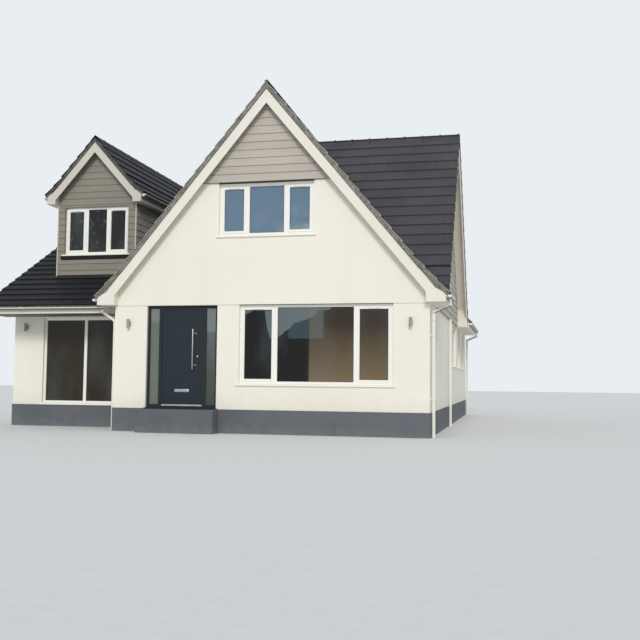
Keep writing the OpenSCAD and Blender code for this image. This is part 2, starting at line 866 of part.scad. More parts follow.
// From the wing's gutter across to the body's left wall, and down it
module wing_downpipe() {
    x_top = -eaves_out - gutter_r;
    y_top = side_ridge_y - wing_fascia_run - gutter_r;
    z_top = rim_z(WING) - gutter_r;
    pipe([[x_top, y_top, z_top], [x_top, y_top, z_top - neck_top / 2],
        [-pipe_off, y_top - neck_top / 2, z_top - neck_drop], [-pipe_off, y_top - neck_top / 2, 0]]);
    pipe_clips(0, -pipe_off, y_top - neck_top / 2);
}

module downpipes() {
    corner_y = 100;
    waste_y = 4600;
    color(WHITE) {
        side_downpipe(corner_y);
        side_downpipe(body_d - corner_y);
        translate([body_w, 0, 0]) mirror([1, 0, 0]) side_downpipe(body_d - corner_y);
        about_side_ridge() wing_downpipe();
        pipe([[body_w + pipe_off, waste_y, 0], [body_w + pipe_off, waste_y, soffit_z - soffit_t]]);
        pipe_clips(body_w, body_w + pipe_off, waste_y);
    }
}

// Left and right edges of a light's opening between the frame's members
function light_x0(window, i) = window[0]
    + (i == 0 ? frame_w : window[4][i - 1][0] * window[2] + mullion_w / 2);
function light_x1(window, i) = window[0]
    + (i == len(window[4]) - 1 ? window[2] - frame_w : window[4][i][0] * window[2] - mullion_w / 2);
function light_rim(window, i) = window[4][i][1] ? sash_w : 0;
function window_z0(window) = plinth_h + window[1];
function window_z1(window) = window_z0(window) + window[3];

// The part of a light that its glass fills, or a block of another depth there
module light_block(window, i, rim, y0, y1) {
    block(light_x0(window, i) + rim, light_x1(window, i) - rim, y0, y1,
        window_z0(window) + frame_w + rim, window_z1(window) - frame_w - rim);
}

module window_frame(window) {
    lights = [0:len(window[4]) - 1];
    difference() {
        union() {
            block(window[0], window[0] + window[2], frame_y0, frame_y1,
                window_z0(window), window_z1(window));
            for (i = lights) if (window[4][i][1])
                light_block(window, i, 0, frame_y0 - sash_proud, frame_y1);
        }
        for (i = lights) light_block(window, i, light_rim(window, i), 0, frame_y1 + cut);
    }
}

module window_panes(window) {
    glass_y0 = frame_y0 + (frame_d - glass_t) / 2;
    for (i = [0:len(window[4]) - 1])
        light_block(window, i, light_rim(window, i), glass_y0, glass_y0 + glass_t);
}

// A sill under a frame, with ears that run past the opening in front of the wall
module window_sill(window, wall_face = 0) {
    top = window_z0(window);
    fall = 8;
    module profile(y1) {
        polygon([[wall_face - sill_out, top - sill_t], [y1, top - sill_t], [y1, top],
            [min(frame_y0, y1), top - (y1 < frame_y0 ? fall / 2 : 0)],
            [wall_face - sill_out, top - fall]]);
    }
    along_x(window[0], window[0] + window[2]) profile(frame_y1);
    along_x(window[0] - sill_ear, window[0] + window[2] + sill_ear) profile(wall_face);
}

module at_wing() {
    translate([0, wing_y0, 0]) children();
}

module at_dormer() {
    translate([0, dormer_y, 0]) children();
}

module front_windows() {
    color(WHITE) {
        window_frame(BIG_WINDOW);
        window_frame(UPPER_WINDOW);
    }
}

module rear_windows() {
    color(WHITE) rear_of_body() {
        window_frame(BIG_WINDOW);
        window_frame(UPPER_WINDOW);
    }
}

module side_windows() {
    color(WHITE) for (window = SIDE_WINDOWS) in_right_wall() window_frame(window);
}

module wing_windows() {
    color(WHITE) about_side_ridge() at_wing() window_frame(WING_WINDOW);
}

module dormer_windows() {
    color(WHITE) about_side_ridge() at_dormer() window_frame(DORMER_WINDOW);
}

module window_glass() {
    color(GLASS) {
        about_body_middle() {
            window_panes(BIG_WINDOW);
            window_panes(UPPER_WINDOW);
        }
        for (window = SIDE_WINDOWS) in_right_wall() window_panes(window);
        about_side_ridge() {
            at_wing() window_panes(WING_WINDOW);
            at_dormer() window_panes(DORMER_WINDOW);
        }
    }
}

module window_sills() {
    color(WHITE) {
        about_body_middle() {
            window_sill(BIG_WINDOW);
            window_sill(UPPER_WINDOW);
        }
        for (window = SIDE_WINDOWS) in_right_wall() window_sill(window);
        about_side_ridge() {
            at_wing() window_sill(WING_WINDOW);
            at_dormer() window_sill(DORMER_WINDOW);
        }
    }
}

// Hinges with a lower half on the frame, whose pin carries the upper half on the leaf
barrel_h = 50;
flap_w = 45;
flap_t = 3;
pin_d = 10;
pin_play = 0.3;

module hinge_flap(x0, x1, z) {
    block(hinge_x + x0, hinge_x + x1, leaf_y1, leaf_y1 + flap_t, z, z + barrel_h);
}

module frame_hinge(z) {
    translate([hinge_x, hinge_y, z]) {
        cylinder(d = hinge_d, h = barrel_h);
        cylinder(d = pin_d, h = 2 * barrel_h);
    }
    hinge_flap(-flap_w, -leaf_gap / 4, z);
}

module leaf_hinge(z) {
    z_leaf = z + barrel_h + pin_play;
    difference() {
        union() {
            translate([hinge_x, hinge_y, z_leaf]) cylinder(d = hinge_d, h = barrel_h);
            hinge_flap(leaf_gap / 4, flap_w, z_leaf);
        }
        translate([hinge_x, hinge_y, z_leaf - cut])
            cylinder(d = pin_d + 2 * pin_play, h = barrel_h + cut - pin_play);
    }
}

// Left edges of the two sidelights' glass
sidelight_xs = [door_x + frame_w, door_x1 - frame_w - sidelight_w];
sidelight_z0 = plinth_h + threshold_h + door_post_w;
sidelight_z1 = head_z - frame_w;

module door_frame() {
    stop_lap = 10;
    stop_t = leaf_y0 - frame_y0 - leaf_gap;
    color(FRAME) {
        difference() {
            block(door_x, door_x1, frame_y0, frame_y1, plinth_h, head_z);
            for (x = sidelight_xs)
                block(x, x + sidelight_w, 0, frame_y1 + cut, sidelight_z0, sidelight_z1);
            block(leaf_x0 - leaf_gap, leaf_x1 + leaf_gap, frame_y0 + stop_t, frame_y1 + cut,
                plinth_h + threshold_h, leaf_z1 + leaf_gap);
            block(leaf_x0 + stop_lap, leaf_x1 - stop_lap, 0, frame_y1 + cut,
                leaf_z0 + stop_lap, leaf_z1 - stop_lap);
        }
        for (z = hinge_zs) frame_hinge(z);
    }
}

module sidelight_glass() {
    glass_y0 = frame_y0 + (frame_d - glass_t) / 2;
    color("#7C8680") for (x = sidelight_xs)
        block(x, x + sidelight_w, glass_y0, glass_y0 + glass_t, sidelight_z0, sidelight_z1);
}

module door_step() {
    fall_below_sill = 10;
    color(PLINTH) block(door_x - step_side, door_x1 + step_side, -plinth_out - step_d,
        -plinth_out, 0, plinth_h - fall_below_sill);
}

// An up-and-down light on a wall whose face is at y = 0
module wall_light(x, y) {
    tube_d = 64;
    tube_h = 180;
    tube_off = 75;
    plate = [60, 12, 90];
    arm = [28, 60, 28];
    below_heads = 375;
    translate([x, y, head_z - below_heads]) {
        translate([0, -tube_off, -tube_h / 2]) cylinder(d = tube_d, h = tube_h);
        translate([-plate[0] / 2, -plate[1], -plate[2] / 2]) cube(plate);
        translate([-arm[0] / 2, -arm[1], -arm[2] / 2]) cube(arm);
    }
}

module wall_lights() {
    color("#6E7276") {
        wall_light(door_x - 397, 0);
        wall_light(body_w - 370, 0);
        wall_light(wing_x0 + 310, wing_y0);
    }
}

// The leaf has shallow grooves: an upright pair, and three that cross between them
module door_leaf() {
    groove_w = 8;
    groove_d = 4;
    inset = 103;
    cross_drops = [57, 361, 1475];
    color(DOOR) difference() {
        block(leaf_x0, leaf_x1, leaf_y0, leaf_y1, leaf_z0, leaf_z1);
        for (x = [leaf_x0 + inset, leaf_x1 - inset - groove_w])
            block(x, x + groove_w, leaf_y0 - cut, leaf_y0 + groove_d,
                leaf_z1 - cross_drops[2], leaf_z1 - cross_drops[0]);
        for (drop = cross_drops)
            block(leaf_x0 + inset, leaf_x1 - inset, leaf_y0 - cut, leaf_y0 + groove_d,
                leaf_z1 - drop, leaf_z1 - drop + groove_w);
    }
}

// A cranked foot from the bar to a rose on the leaf
module handle_foot(x, y_bar, z) {
    foot_d = 0.7 * handle_d;
    rose_d = 34;
    rose_t = 5;
    reach = [handle_crank, leaf_y0 - y_bar];
    intersection() {
        translate([x, y_bar, z]) rotate([0, 0, atan2(reach[1], reach[0])]) rotate([0, 90, 0])
            cylinder(d = foot_d, h = norm(reach) + foot_d);
        block(leaf_x0, leaf_x1, y_bar - handle_d, leaf_y0, z - handle_d, z + handle_d);
    }
    translate([x + handle_crank, leaf_y0, z]) rotate([90, 0, 0]) cylinder(d = rose_d, h = rose_t);
}

module door_furniture() {
    handle_x = leaf_x1 - 225;
    handle_out = 62;
    foot_in = 90;
    lock_x = leaf_x1 - 135;
    lock_h = 1090;
    lock_d = 42;
    lock_out = 9;
    letter_plate = [318, 7, 60];
    letter_h = 345;
    z0 = plinth_h + handle_h - handle_len / 2;
    color(STEEL) {
        translate([handle_x, leaf_y0 - handle_out, z0]) cylinder(d = handle_d, h = handle_len);
        for (z = [z0 + foot_in, z0 + handle_len - foot_in])
            handle_foot(handle_x, leaf_y0 - handle_out, z);
        translate([lock_x, leaf_y0, plinth_h + lock_h]) rotate([90, 0, 0])
            cylinder(d = lock_d, h = lock_out);
        translate([leaf_x0 + (leaf_w - letter_plate[0]) / 2, leaf_y0 - letter_plate[1],
            plinth_h + letter_h]) cube(letter_plate);
        for (z = hinge_zs) leaf_hinge(z);
    }
}

plinth();
ground_floor();
first_floor();
front_wall_left();
front_wall_right();
front_gable_wall();
right_wall();
right_gable_wall();
left_wall();
rear_wall();
rear_gable_wall();
gable_boards();
wing_front_wall();
wing_side_wall();
wing_rear_wall();
dormer_end_walls();
dormer_cheeks();
main_roof_left();
main_roof_right_front();
main_roof_right_rear();
side_roof_front();
side_roof_rear();
wing_roof_front();
wing_roof_rear();
dormer_roof_left();
dormer_roof_right();
ridge_tiles();
main_bargeboards();
wing_and_dormer_bargeboards();
eaves_boards();
gutters();
downpipes();
front_windows();
side_windows();
rear_windows();
wing_windows();
dormer_windows();
window_glass();
window_sills();
door_frame();
sidelight_glass();
door_step();
wall_lights();
door_leaf();
door_furniture();
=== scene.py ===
"""Looks of the detached house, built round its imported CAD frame.

The house stands on z = 0 with its front towards -Y. All lengths are metres. The body's left
front corner is the origin, the ridge runs along Y, and the wing with its dormer is at the left.
"""

import logging
import math
import random
from collections.abc import Callable, Iterator, Sequence
from contextlib import contextmanager
from dataclasses import dataclass
from enum import Enum
from functools import cached_property
from typing import ClassVar

import bmesh
import bpy
from mathutils import Matrix, Vector

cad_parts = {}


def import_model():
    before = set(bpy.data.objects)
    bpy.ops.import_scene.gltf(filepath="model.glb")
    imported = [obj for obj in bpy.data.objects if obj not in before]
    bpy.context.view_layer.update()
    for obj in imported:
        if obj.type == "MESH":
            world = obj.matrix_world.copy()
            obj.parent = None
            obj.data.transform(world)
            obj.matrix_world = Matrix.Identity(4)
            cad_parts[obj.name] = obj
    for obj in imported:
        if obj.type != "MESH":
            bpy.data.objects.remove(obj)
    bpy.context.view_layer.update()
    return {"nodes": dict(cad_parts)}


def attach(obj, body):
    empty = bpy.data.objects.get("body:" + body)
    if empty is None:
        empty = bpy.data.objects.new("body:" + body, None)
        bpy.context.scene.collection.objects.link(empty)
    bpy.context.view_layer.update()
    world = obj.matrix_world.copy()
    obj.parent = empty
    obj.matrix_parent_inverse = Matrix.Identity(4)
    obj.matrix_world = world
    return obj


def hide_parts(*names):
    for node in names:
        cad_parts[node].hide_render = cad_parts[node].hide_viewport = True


LOG = logging.getLogger("detached_house")
HOUSE = "house"
DOOR = "front_door"

Socket = bpy.types.NodeSocket
Paint = Socket | str  # a colour worked out by nodes, or written as #RRGGBB
Point = tuple[float, float, float]
Pair = tuple[float, float]
Plane = tuple[Point, Point]  # a point and the normal
Test = Callable[[Vector, Vector], bool]


# Finishes


def linear(hex_colour: str) -> tuple[float, float, float, float]:
    """Turn an sRGB hex colour into the linear colour that a shader takes.

    Args:
        hex_colour: colour written as #RRGGBB.

    Returns:
        The linear red, green and blue, and an alpha of 1.
    """
    levels = [int(hex_colour[i : i + 2], 16) / 255 for i in (1, 3, 5)]
    r, g, b = (v / 12.92 if v <= 0.04045 else ((v + 0.055) / 1.055) ** 2.4 for v in levels)
    return (r, g, b, 1.0)


def add_node(
    tree: bpy.types.NodeTree,
    kind: str,
    settings: dict[str, object] | None = None,
    inputs: dict[str | int, object] | None = None,
) -> bpy.types.Node:
    """Add a node, set its properties, and set or link its inputs.

    Args:
        tree: the material's or world's node tree.
        kind: Blender's name of the node.
        settings: property values by name.
        inputs: a value, a #RRGGBB colour or another node's output, by socket name or number.

    Returns:
        The new node.
    """
    made = tree.nodes.new(kind)
    for key, value in (settings or {}).items():
        setattr(made, key, value)
    for key, value in (inputs or {}).items():
        if isinstance(value, Socket):
            tree.links.new(value, made.inputs[key])
        else:
            made.inputs[key].default_value = linear(value) if isinstance(value, str) else value
    return made


@dataclass
class Wiring:
    """A node tree in the making, with the patterns that the finishes share."""

    tree: bpy.types.NodeTree

    @cached_property
    def place(self) -> Socket:
        """Object coordinates, in metres."""
        return add_node(self.tree, "ShaderNodeTexCoord").outputs["Object"]

    def axes(self, vector: Socket) -> list[Socket]:
        """Return the x, y and z of a vector."""
        return list(add_node(self.tree, "ShaderNodeSeparateXYZ", inputs={0: vector}).outputs)

    def facing_up(self) -> Socket:
        """Return how far a face looks up: 1 for a level top, -1 for a level underside."""
        return self.axes(add_node(self.tree, "ShaderNodeNewGeometry").outputs["Normal"])[2]

    def noise(self, size_mm: float, stretch: Point = (1, 1, 1), detail: float = 4) -> Socket:
        """Return a noise whose lumps are about size_mm wide.

        Args:
            size_mm: width of a lump.
            stretch: how much closer the lumps lie along each axis.
            detail: octaves of finer noise on top.

        Returns:
            The noise's value, about 0.2 to 0.8.
        """
        turned = add_node(
            self.tree, "ShaderNodeMapping", inputs={"Vector": self.place, "Scale": stretch}
        )
        scale = 1000 / size_mm / 2
        inputs = {"Vector": turned.outputs[0], "Scale": scale, "Detail": detail}
        return add_node(self.tree, "ShaderNodeTexNoise", inputs=inputs).outputs["Fac"]

    def ramp(
        self, value: Socket, low: float, high: float, to_low: float = 0.0, to_high: float = 1.0
    ) -> Socket:
        """Spread a value from one range to another, clamped.

        Args:
            value: what is spread.
            low: the value that becomes to_low.
            high: the value that becomes to_high.
            to_low: the result at low.
            to_high: the result at high.

        Returns:
            The spread value.
        """
        inputs = {"Value": value, "From Min": low, "From Max": high, "To Min": to_low, "To Max": to_high}
        return add_node(self.tree, "ShaderNodeMapRange", {"clamp": True}, inputs).outputs[0]

    def spread(self, noise: Socket, to_low: float, to_high: float) -> Socket:
        """Spread a noise's middle range, 0.3 to 0.7, to to_low..to_high."""
        return self.ramp(noise, 0.3, 0.7, to_low, to_high)

    def mix(self, share: Socket, first: Paint, second: Paint) -> Socket:
        """Mix two colours.

        Args:
            share: how much of the second shows.
            first: a colour.
            second: another colour.

        Returns:
            The mixed colour.
        """
        made = add_node(
            self.tree, "ShaderNodeMix", {"data_type": "RGBA"}, {0: share, 6: first, 7: second}
        )
        return made.outputs[2]

    def over(
        self, first: Paint, second: Paint, value: Socket, low: float, high: float, most: float = 1.0
    ) -> Socket:
        """Lay a colour over another where a value is high.

        Args:
            first: the colour that shows where the value is low.
            second: the colour laid over it.
            value: a noise or another number for each place.
            low: the value at which the second colour starts.
            high: the value at which it is strongest.
            most: its share there.

        Returns:
            The mixed colour.
        """
        return self.mix(self.ramp(value, low, high, 0, most), first, second)

    def maths(self, kind: str, first: Socket | float, second: Socket | float = 0.0) -> Socket:
        """Put two numbers together by a Math node.

        Args:
            kind: what the node does.
            first: its first number.
            second: its second number.

        Returns:
            The result.
        """
        return add_node(
            self.tree, "ShaderNodeMath", {"operation": kind}, {0: first, 1: second}
        ).outputs[0]

    def line(self, along: Socket, slope: float, start: float) -> Socket:
        """Return a straight line's height: start plus slope times along."""
        return self.maths("ADD", start, self.maths("MULTIPLY", along, slope))

    def ragged_height(self, size_mm: float, reach: float) -> Socket:
        """Return the height above the ground, shifted up and down by a noise by up to reach."""
        drift = self.spread(self.noise(size_mm), -reach, reach)
        return self.maths("ADD", self.axes(self.place)[2], drift)

    def random(self, number: Socket) -> Socket:
        """Draw a random share for each whole number.

        Args:
            number: the whole number.

        Returns:
            A share, 0 to 1.
        """
        return add_node(
            self.tree, "ShaderNodeTexWhiteNoise", {"noise_dimensions": "1D"}, {"W": number}
        ).outputs[0]

    def bump(self, height: Socket, depth_mm: float, under: Socket | None = None) -> Socket:
        """Return a bumped normal.

        Args:
            height: relief from 0 to 1.
            depth_mm: what a height of 1 stands for.
            under: a normal that the relief is added to.

        Returns:
            The normal.
        """
        inputs = {"Height": height, "Strength": 1.0, "Distance": depth_mm / 1000}
        if under is not None:
            inputs["Normal"] = under
        return add_node(self.tree, "ShaderNodeBump", inputs=inputs).outputs[0]

    def surface(
        self,
        colour: Paint,
        roughness: Socket | float,
        normal: Socket | None = None,
        specular: float = 0.5,
        **levels: float,
    ) -> Socket:
        """Return the Principled shader that a finish ends in.

        Args:
            colour: base colour.
            roughness: 0 is a mirror, 1 is matt.
            normal: a bumped normal.
            specular: how strongly it mirrors, as Blender's Specular IOR Level.
            levels: other sockets of the shader by name, with _ for a space.

        Returns:
            The shader.
        """
        inputs = {"Base Color": colour, "Roughness": roughness, "Specular IOR Level": specular}
        inputs |= {name.replace("_", " "): level for name, level in levels.items()}
        if normal is not None:
            inputs["Normal"] = normal
        return add_node(self.tree, "ShaderNodeBsdfPrincipled", inputs=inputs).outputs[0]


@dataclass(frozen=True)
class Finish:
    """A procedural material, built once and shared by the pieces that have it."""

    name: str
    colour: str
    made: ClassVar[dict[str, bpy.types.Material]] = {}

    def material(self) -> bpy.types.Material:
        """Build the finish's material at its first use.

        Returns:
            The Blender material.
        """
        if self.name not in Finish.made:
            material = bpy.data.materials.new(self.name)
            material.use_nodes = True
            tree = material.node_tree
            tree.nodes.clear()
            add_node(tree, "ShaderNodeOutputMaterial", inputs={"Surface": self.shader(Wiring(tree))})
            Finish.made[self.name] = material
        return Finish.made[self.name]

    def shader(self, wiring: Wiring) -> Socket:
        """Build the finish's nodes and return the shader's output."""
        raise NotImplementedError


@dataclass(frozen=True)
class PaintedRender(Finish):
    """Sand and cement render under masonry paint: matt, softly uneven, faintly stained."""

    name: str = "masonry_painted_smooth_render"
    colour: str = "#F1EDE0"
    stain: str = "#E3DDCB"
    splash: str = "#D8D2C2"
    cloud_mm: float = 1400.0
    run_mm: float = 300.0
    sand_mm: float = 9.0  # sand grains are 1 mm; drawn 9 mm wide so that they show
    trowel_mm: float = 260.0

    def shader(self, wiring: Wiring) -> Socket:
        """Cream paint with faint clouds, a splash zone at its foot and a sand grain.

        Args:
            wiring: the nodes of the material in the making.

        Returns:
            The shader.
        """
        w = wiring
        colour = w.over(self.colour, self.stain, w.noise(self.cloud_mm), 0.42, 0.72, 0.30)
        colour = w.over(colour, self.stain, w.noise(self.run_mm, (1, 1, 0.12)), 0.52, 0.8, 0.22)
        foot = w.ramp(w.ragged_height(180, 0.12), 0.50, 0.82, 0.30, 0)
        colour = w.mix(foot, colour, self.splash)
        sand = w.noise(self.sand_mm, detail=2)
        trowel = w.bump(w.noise(self.trowel_mm, detail=1), 3.0)
        return w.surface(colour, w.spread(sand, 0.8, 0.95), w.bump(sand, 0.9, trowel))


@dataclass(frozen=True)
class PlinthPaint(Finish):
    """Dark grey masonry paint rolled onto blockwork: matt, dusty, rubbed at its foot."""

    name: str = "rolled_dark_grey_masonry_paint"
    colour: str = "#666A70"
    dust: str = "#7A7B79"
    deep: str = "#585C61"
    roller_mm: float = 14.0
    patch_mm: float = 420.0

    def shader(self, wiring: Wiring) -> Socket:
        """Grey paint with dust that gathers low down, and a roller's orange peel.

        Args:
            wiring: the nodes of the material in the making.

        Returns:
            The shader.
        """
        w = wiring
        colour = w.over(self.colour, self.deep, w.noise(self.patch_mm), 0.4, 0.7, 0.6)
        foot = w.ramp(w.ragged_height(90, 0.1), -0.02, 0.2, 0.55, 0.0)
        colour = w.mix(foot, colour, self.dust)
        peel = w.noise(self.roller_mm, detail=2)
        return w.surface(colour, w.spread(peel, 0.7, 0.88), w.bump(peel, 1.2), 0.25)


@dataclass(frozen=True)
class CladdingBoard(Finish):
    """Grey moulded cladding board with a pressed grain along its length, matt."""

    name: str = "moulded_cladding_board_pressed_grain"
    colour: str = "#BBB3A9"
    pale: str = "#C8C0B7"
    deep: str = "#A9A297"
    lap: str = "#58534B"  # painted shadow under the lower edge of each board, where it laps
    lap_shadow_share: float = 0.6
    board_h: float = 0.1665
    first_z: float = 0.0
    grain_mm: float = 12.0  # the pressed grain is 2 mm apart; drawn coarser to show
    along_x: bool = True

    def shader(self, wiring: Wiring) -> Socket:
        """Each board has its own tint, streaks of grain along it, and a painted shadow under each lap.

        Args:
            wiring: the nodes of the material in the making.

        Returns:
            The shader.
        """
        w = wiring
        above = w.maths("SUBTRACT", w.axes(w.place)[2], self.first_z)
        row = w.maths("DIVIDE", above, self.board_h)
        grain = w.noise(self.grain_mm, (0.05, 1, 1) if self.along_x else (1, 0.05, 1), 5)
        colour = w.over(self.colour, self.pale, w.random(w.maths("FLOOR", row)), 0, 1, 0.5)
        colour = w.over(colour, self.deep, grain, 0.45, 0.7, 0.35)
        colour = w.over(colour, self.deep, w.noise(500), 0.45, 0.75, 0.25)
        # Painted shadow along the lower edge of each board, under the board above
        lap = w.ramp(w.maths("FRACT", row), 0.05, 0.08, self.lap_shadow_share, 0)
        colour = w.mix(lap, colour, self.lap)
        return w.surface(colour, w.spread(grain, 0.6, 0.8), w.bump(grain, 0.8), 0.25)


@dataclass(frozen=True)
class ConcreteTile(Finish):
    """Flat interlocking concrete tile with a dull acrylic coat: each tile its own shade."""

    name: str = "coated_concrete_tile_charcoal"
    colour: str = "#4B484D"
    pale: str = "#5A575B"
    deep: str = "#3A383D"
    edge: str = "#77746F"
    sand_mm: float = 8.0
    patch_mm: float = 700.0

    def shader(self, wiring: Wiring) -> Socket:
        """Charcoal with a shade for each tile, weathered patches and a sandy grain.

        Args:
            wiring: the nodes of the material in the making.

        Returns:
            The shader.
        """
        w = wiring
        shade = add_node(w.tree, "ShaderNodeAttribute", {"attribute_name": "tile_shade"})
        sand = w.noise(self.sand_mm, detail=3)
        colour = w.over(self.colour, self.pale, shade.outputs["Fac"], 0, 1, 0.22)
        colour = w.over(colour, self.deep, w.noise(self.patch_mm, detail=5), 0.42, 0.7, 0.55)
        colour = w.over(colour, self.edge, sand, 0.6, 0.8, 0.25)
        return w.surface(colour, w.spread(sand, 0.6, 0.78), w.bump(sand, 0.9), 0.2)


@dataclass(frozen=True)
class VergeMortar(Finish):
    """Roof plate edges: bedding mortar, blotched at the verges, with felt seen from below."""

    name: str = "bedding_mortar_weathered"
    colour: str = "#7C7A72"
    pale: str = "#97958B"
    deep: str = "#4F4E4A"
    felt: str = "#2B2A2C"
    blot_mm: float = 110.0
    lump_mm: float = 26.0

    def shader(self, wiring: Wiring) -> Socket:
        """Grey mortar, blotched and pitted, on upright edges; dark felt on the other faces.

        Args:
            wiring: the nodes of the material in the making.

        Returns:
            The shader.
        """
        w = wiring
        lump = w.noise(self.lump_mm)
        colour = w.over(self.pale, self.colour, w.noise(self.blot_mm, detail=6), 0.4, 0.62)
        colour = w.over(colour, self.deep, lump, 0.5, 0.68, 0.8)
        colour = w.over(colour, self.felt, w.maths("ABSOLUTE", w.facing_up()), 0.2, 0.3)
        return w.surface(colour, 0.92, w.bump(lump, 5.0))


@dataclass(frozen=True)
class Plastic(Finish):
    """Extruded or moulded plastic and painted board: even colour, slight waves, dirt, and optional painted
    shade underneath.
    """

    dirt: str
    roughness: float
    wave_mm: float = 320.0
    wave_depth_mm: float = 0.25
    dirt_share: float = 0.16
    grain_mm: float = 0.0  # above 0, a pressed grain along Z, as on foiled frames
    grain_depth_mm: float = 0.35
    specular: float = 0.4
    underside_shade_share: float = 0.0  # above 0, painted shade on faces that look down
    under: str = "#45443F"

    def shader(self, wiring: Wiring) -> Socket:
        """Even plastic with a little grime in soft patches, shallow waves, and painted shade on undersides
        where set.

        Args:
            wiring: the nodes of the material in the making.

        Returns:
            The shader.
        """
        w = wiring
        grime = w.noise(240, (1, 1, 0.4), 6)
        colour = w.over(self.colour, self.dirt, grime, 0.48, 0.78, self.dirt_share)
        # Painted shade on faces that look down
        if self.underside_shade_share:
            colour = w.over(colour, self.under, w.facing_up(), -0.15, -0.5, self.underside_shade_share)
        normal = w.bump(w.noise(self.wave_mm, detail=1), self.wave_depth_mm)
        rough = w.spread(grime, self.roughness, self.roughness + 0.1)
        if self.grain_mm:
            grain = w.noise(self.grain_mm, (1, 1, 0.05))
            normal = w.bump(grain, self.grain_depth_mm, normal)
            rough = w.spread(grain, self.roughness, self.roughness + 0.15)
        return w.surface(colour, rough, normal, self.specular)


@dataclass(frozen=True)
class Metal(Finish):
    """Bare or coated metal; a bare one is brushed along one axis."""

    dull: str
    roughness: float
    metallic: float
    brush_mm: float = 5.0
    brush: Point = (1, 1, 0.02)
    depth_mm: float = 0.06

    def shader(self, wiring: Wiring) -> Socket:
        """Fine lines along the brushed axis, with duller patches.

        Args:
            wiring: the nodes of the material in the making.

        Returns:
            The shader.
        """
        w = wiring
        lines = w.noise(self.brush_mm, self.brush, 3)
        colour = w.over(self.colour, self.dull, w.noise(90), 0.42, 0.75, 0.6)
        rough = w.spread(lines, self.roughness, self.roughness + 0.14)
        return w.surface(colour, rough, w.bump(lines, self.depth_mm), Metallic=self.metallic)


@dataclass(frozen=True)
class Glazing(Finish):
    """Sealed double glazing: clear or patterned, faintly tinted, with a film of rain marks."""

    film: str
    roughness: float = 0.03
    transmission: float = 0.4
    specular: float = 0.12  # holds down the mirror of the studio's wide white backdrop
    ripple_mm: float = 700.0
    ripple_depth_mm: float = 1.2

    def tone(self, wiring: Wiring) -> Paint:
        """Return the colour that the glass gives to what lies behind it."""
        return self.colour

    def shader(self, wiring: Wiring) -> Socket:
        """Tinted see-through glass whose gentle warp bends what it mirrors.

        Args:
            wiring: the nodes of the material in the making.

        Returns:
            The shader.
        """
        w = wiring
        film = w.noise(260, (1, 1, 0.3), 5)
        return w.surface(
            w.over(self.tone(w), self.film, film, 0.45, 0.8, 0.25),
            w.ramp(film, 0.4, 0.8, self.roughness, self.roughness + 0.05),
            w.bump(w.noise(self.ripple_mm, detail=1), self.ripple_depth_mm),
            self.specular,
            IOR=1.5,
            Transmission_Weight=self.transmission,
        )


@dataclass(frozen=True)
class HouseGlass(Glazing):
    """Clear double glazing with painted reflections: sky and clouds upstairs, a dark ragged skyline against
    pale sky below, and dim warm rooms painted behind it.
    """

    # sky and cloud are painted reflections upstairs; pale, patch, patch_warm and dark are painted reflections
    # downstairs; room and room_low paint dim rooms, lighter low down; wing and dormer are dark painted
    # reflections
    sky: str = "#7E9AB4"
    cloud: str = "#B4BFBC"
    pale: str = "#8A969A"  # downstairs, over the ragged line
    patch: str = "#4C5F6B"  # between the dark half and the warm half
    patch_warm: str = "#74766F"
    dark: str = "#161313"
    room: str = "#44372A"
    room_low: str = "#94805F"
    wing: str = "#3B3323"
    dormer: str = "#2B2F2A"

    def downstairs(self, w: Wiring, x: Socket, z: Socket) -> Socket:
        """Paint the wide window: a dark painted reflection left, a warm painted room right, with painted sky
        above a ragged line.

        Args:
            w: the node tree.
            x: place across the house.
            z: height.

        Returns:
            The colour.
        """
        drift = w.spread(w.noise(170, detail=8), -0.07, 0.07)
        # The line is level at the left, falls in the middle, and rises slowly to the right
        fall = w.maths("MINIMUM", w.line(x, -4.72, 18.08), 2.50)
        ragged = w.maths("ADD", w.maths("MAXIMUM", fall, w.line(x, 0.506, 0.211)), drift)
        warm = w.mix(w.ramp(z, 1.0, 2.25), self.room_low, self.room)
        side = w.ramp(x, 4.244, 4.250)
        height = w.maths("SUBTRACT", z, w.maths("MULTIPLY", drift, 0.3))
        patch = w.maths("MULTIPLY", w.ramp(x, 3.76, 3.84), w.ramp(x, 4.50, 4.58, 1, 0))
        patch = w.maths("MULTIPLY", patch, w.ramp(height, 1.94, 1.96, 0, 0.8))
        colour = w.mix(patch, w.mix(side, self.dark, warm), w.mix(side, self.patch, self.patch_warm))
        return w.over(colour, self.pale, w.maths("SUBTRACT", z, ragged), 0.0, 0.02, 0.75)

    def tone(self, wiring: Wiring) -> Paint:
        """Paint reflections and rooms by place: sky upstairs, rooms downstairs, the wing at the left.

        Args:
            wiring: the nodes of the material in the making.

        Returns:
            The colour.
        """
        w = wiring
        x, _, z = w.axes(w.place)
        storey = w.ramp(z, 3.2, 3.3)
        low = w.maths("MULTIPLY", w.ramp(z, 4.80, 4.25), w.ramp(x, 2.9, 3.9))
        billow = w.ramp(w.noise(380, (1, 1, 1.6), 6), 0.42, 0.62)
        upstairs = w.mix(w.maths("MULTIPLY", low, billow), self.sky, self.cloud)
        dormer = w.over(self.dormer, self.sky, w.noise(70, detail=5), 0.58, 0.68, 0.3)
        body = w.mix(storey, self.downstairs(w, x, z), upstairs)
        return w.mix(w.ramp(x, -0.2, -0.1), w.mix(storey, self.wing, dormer), body)


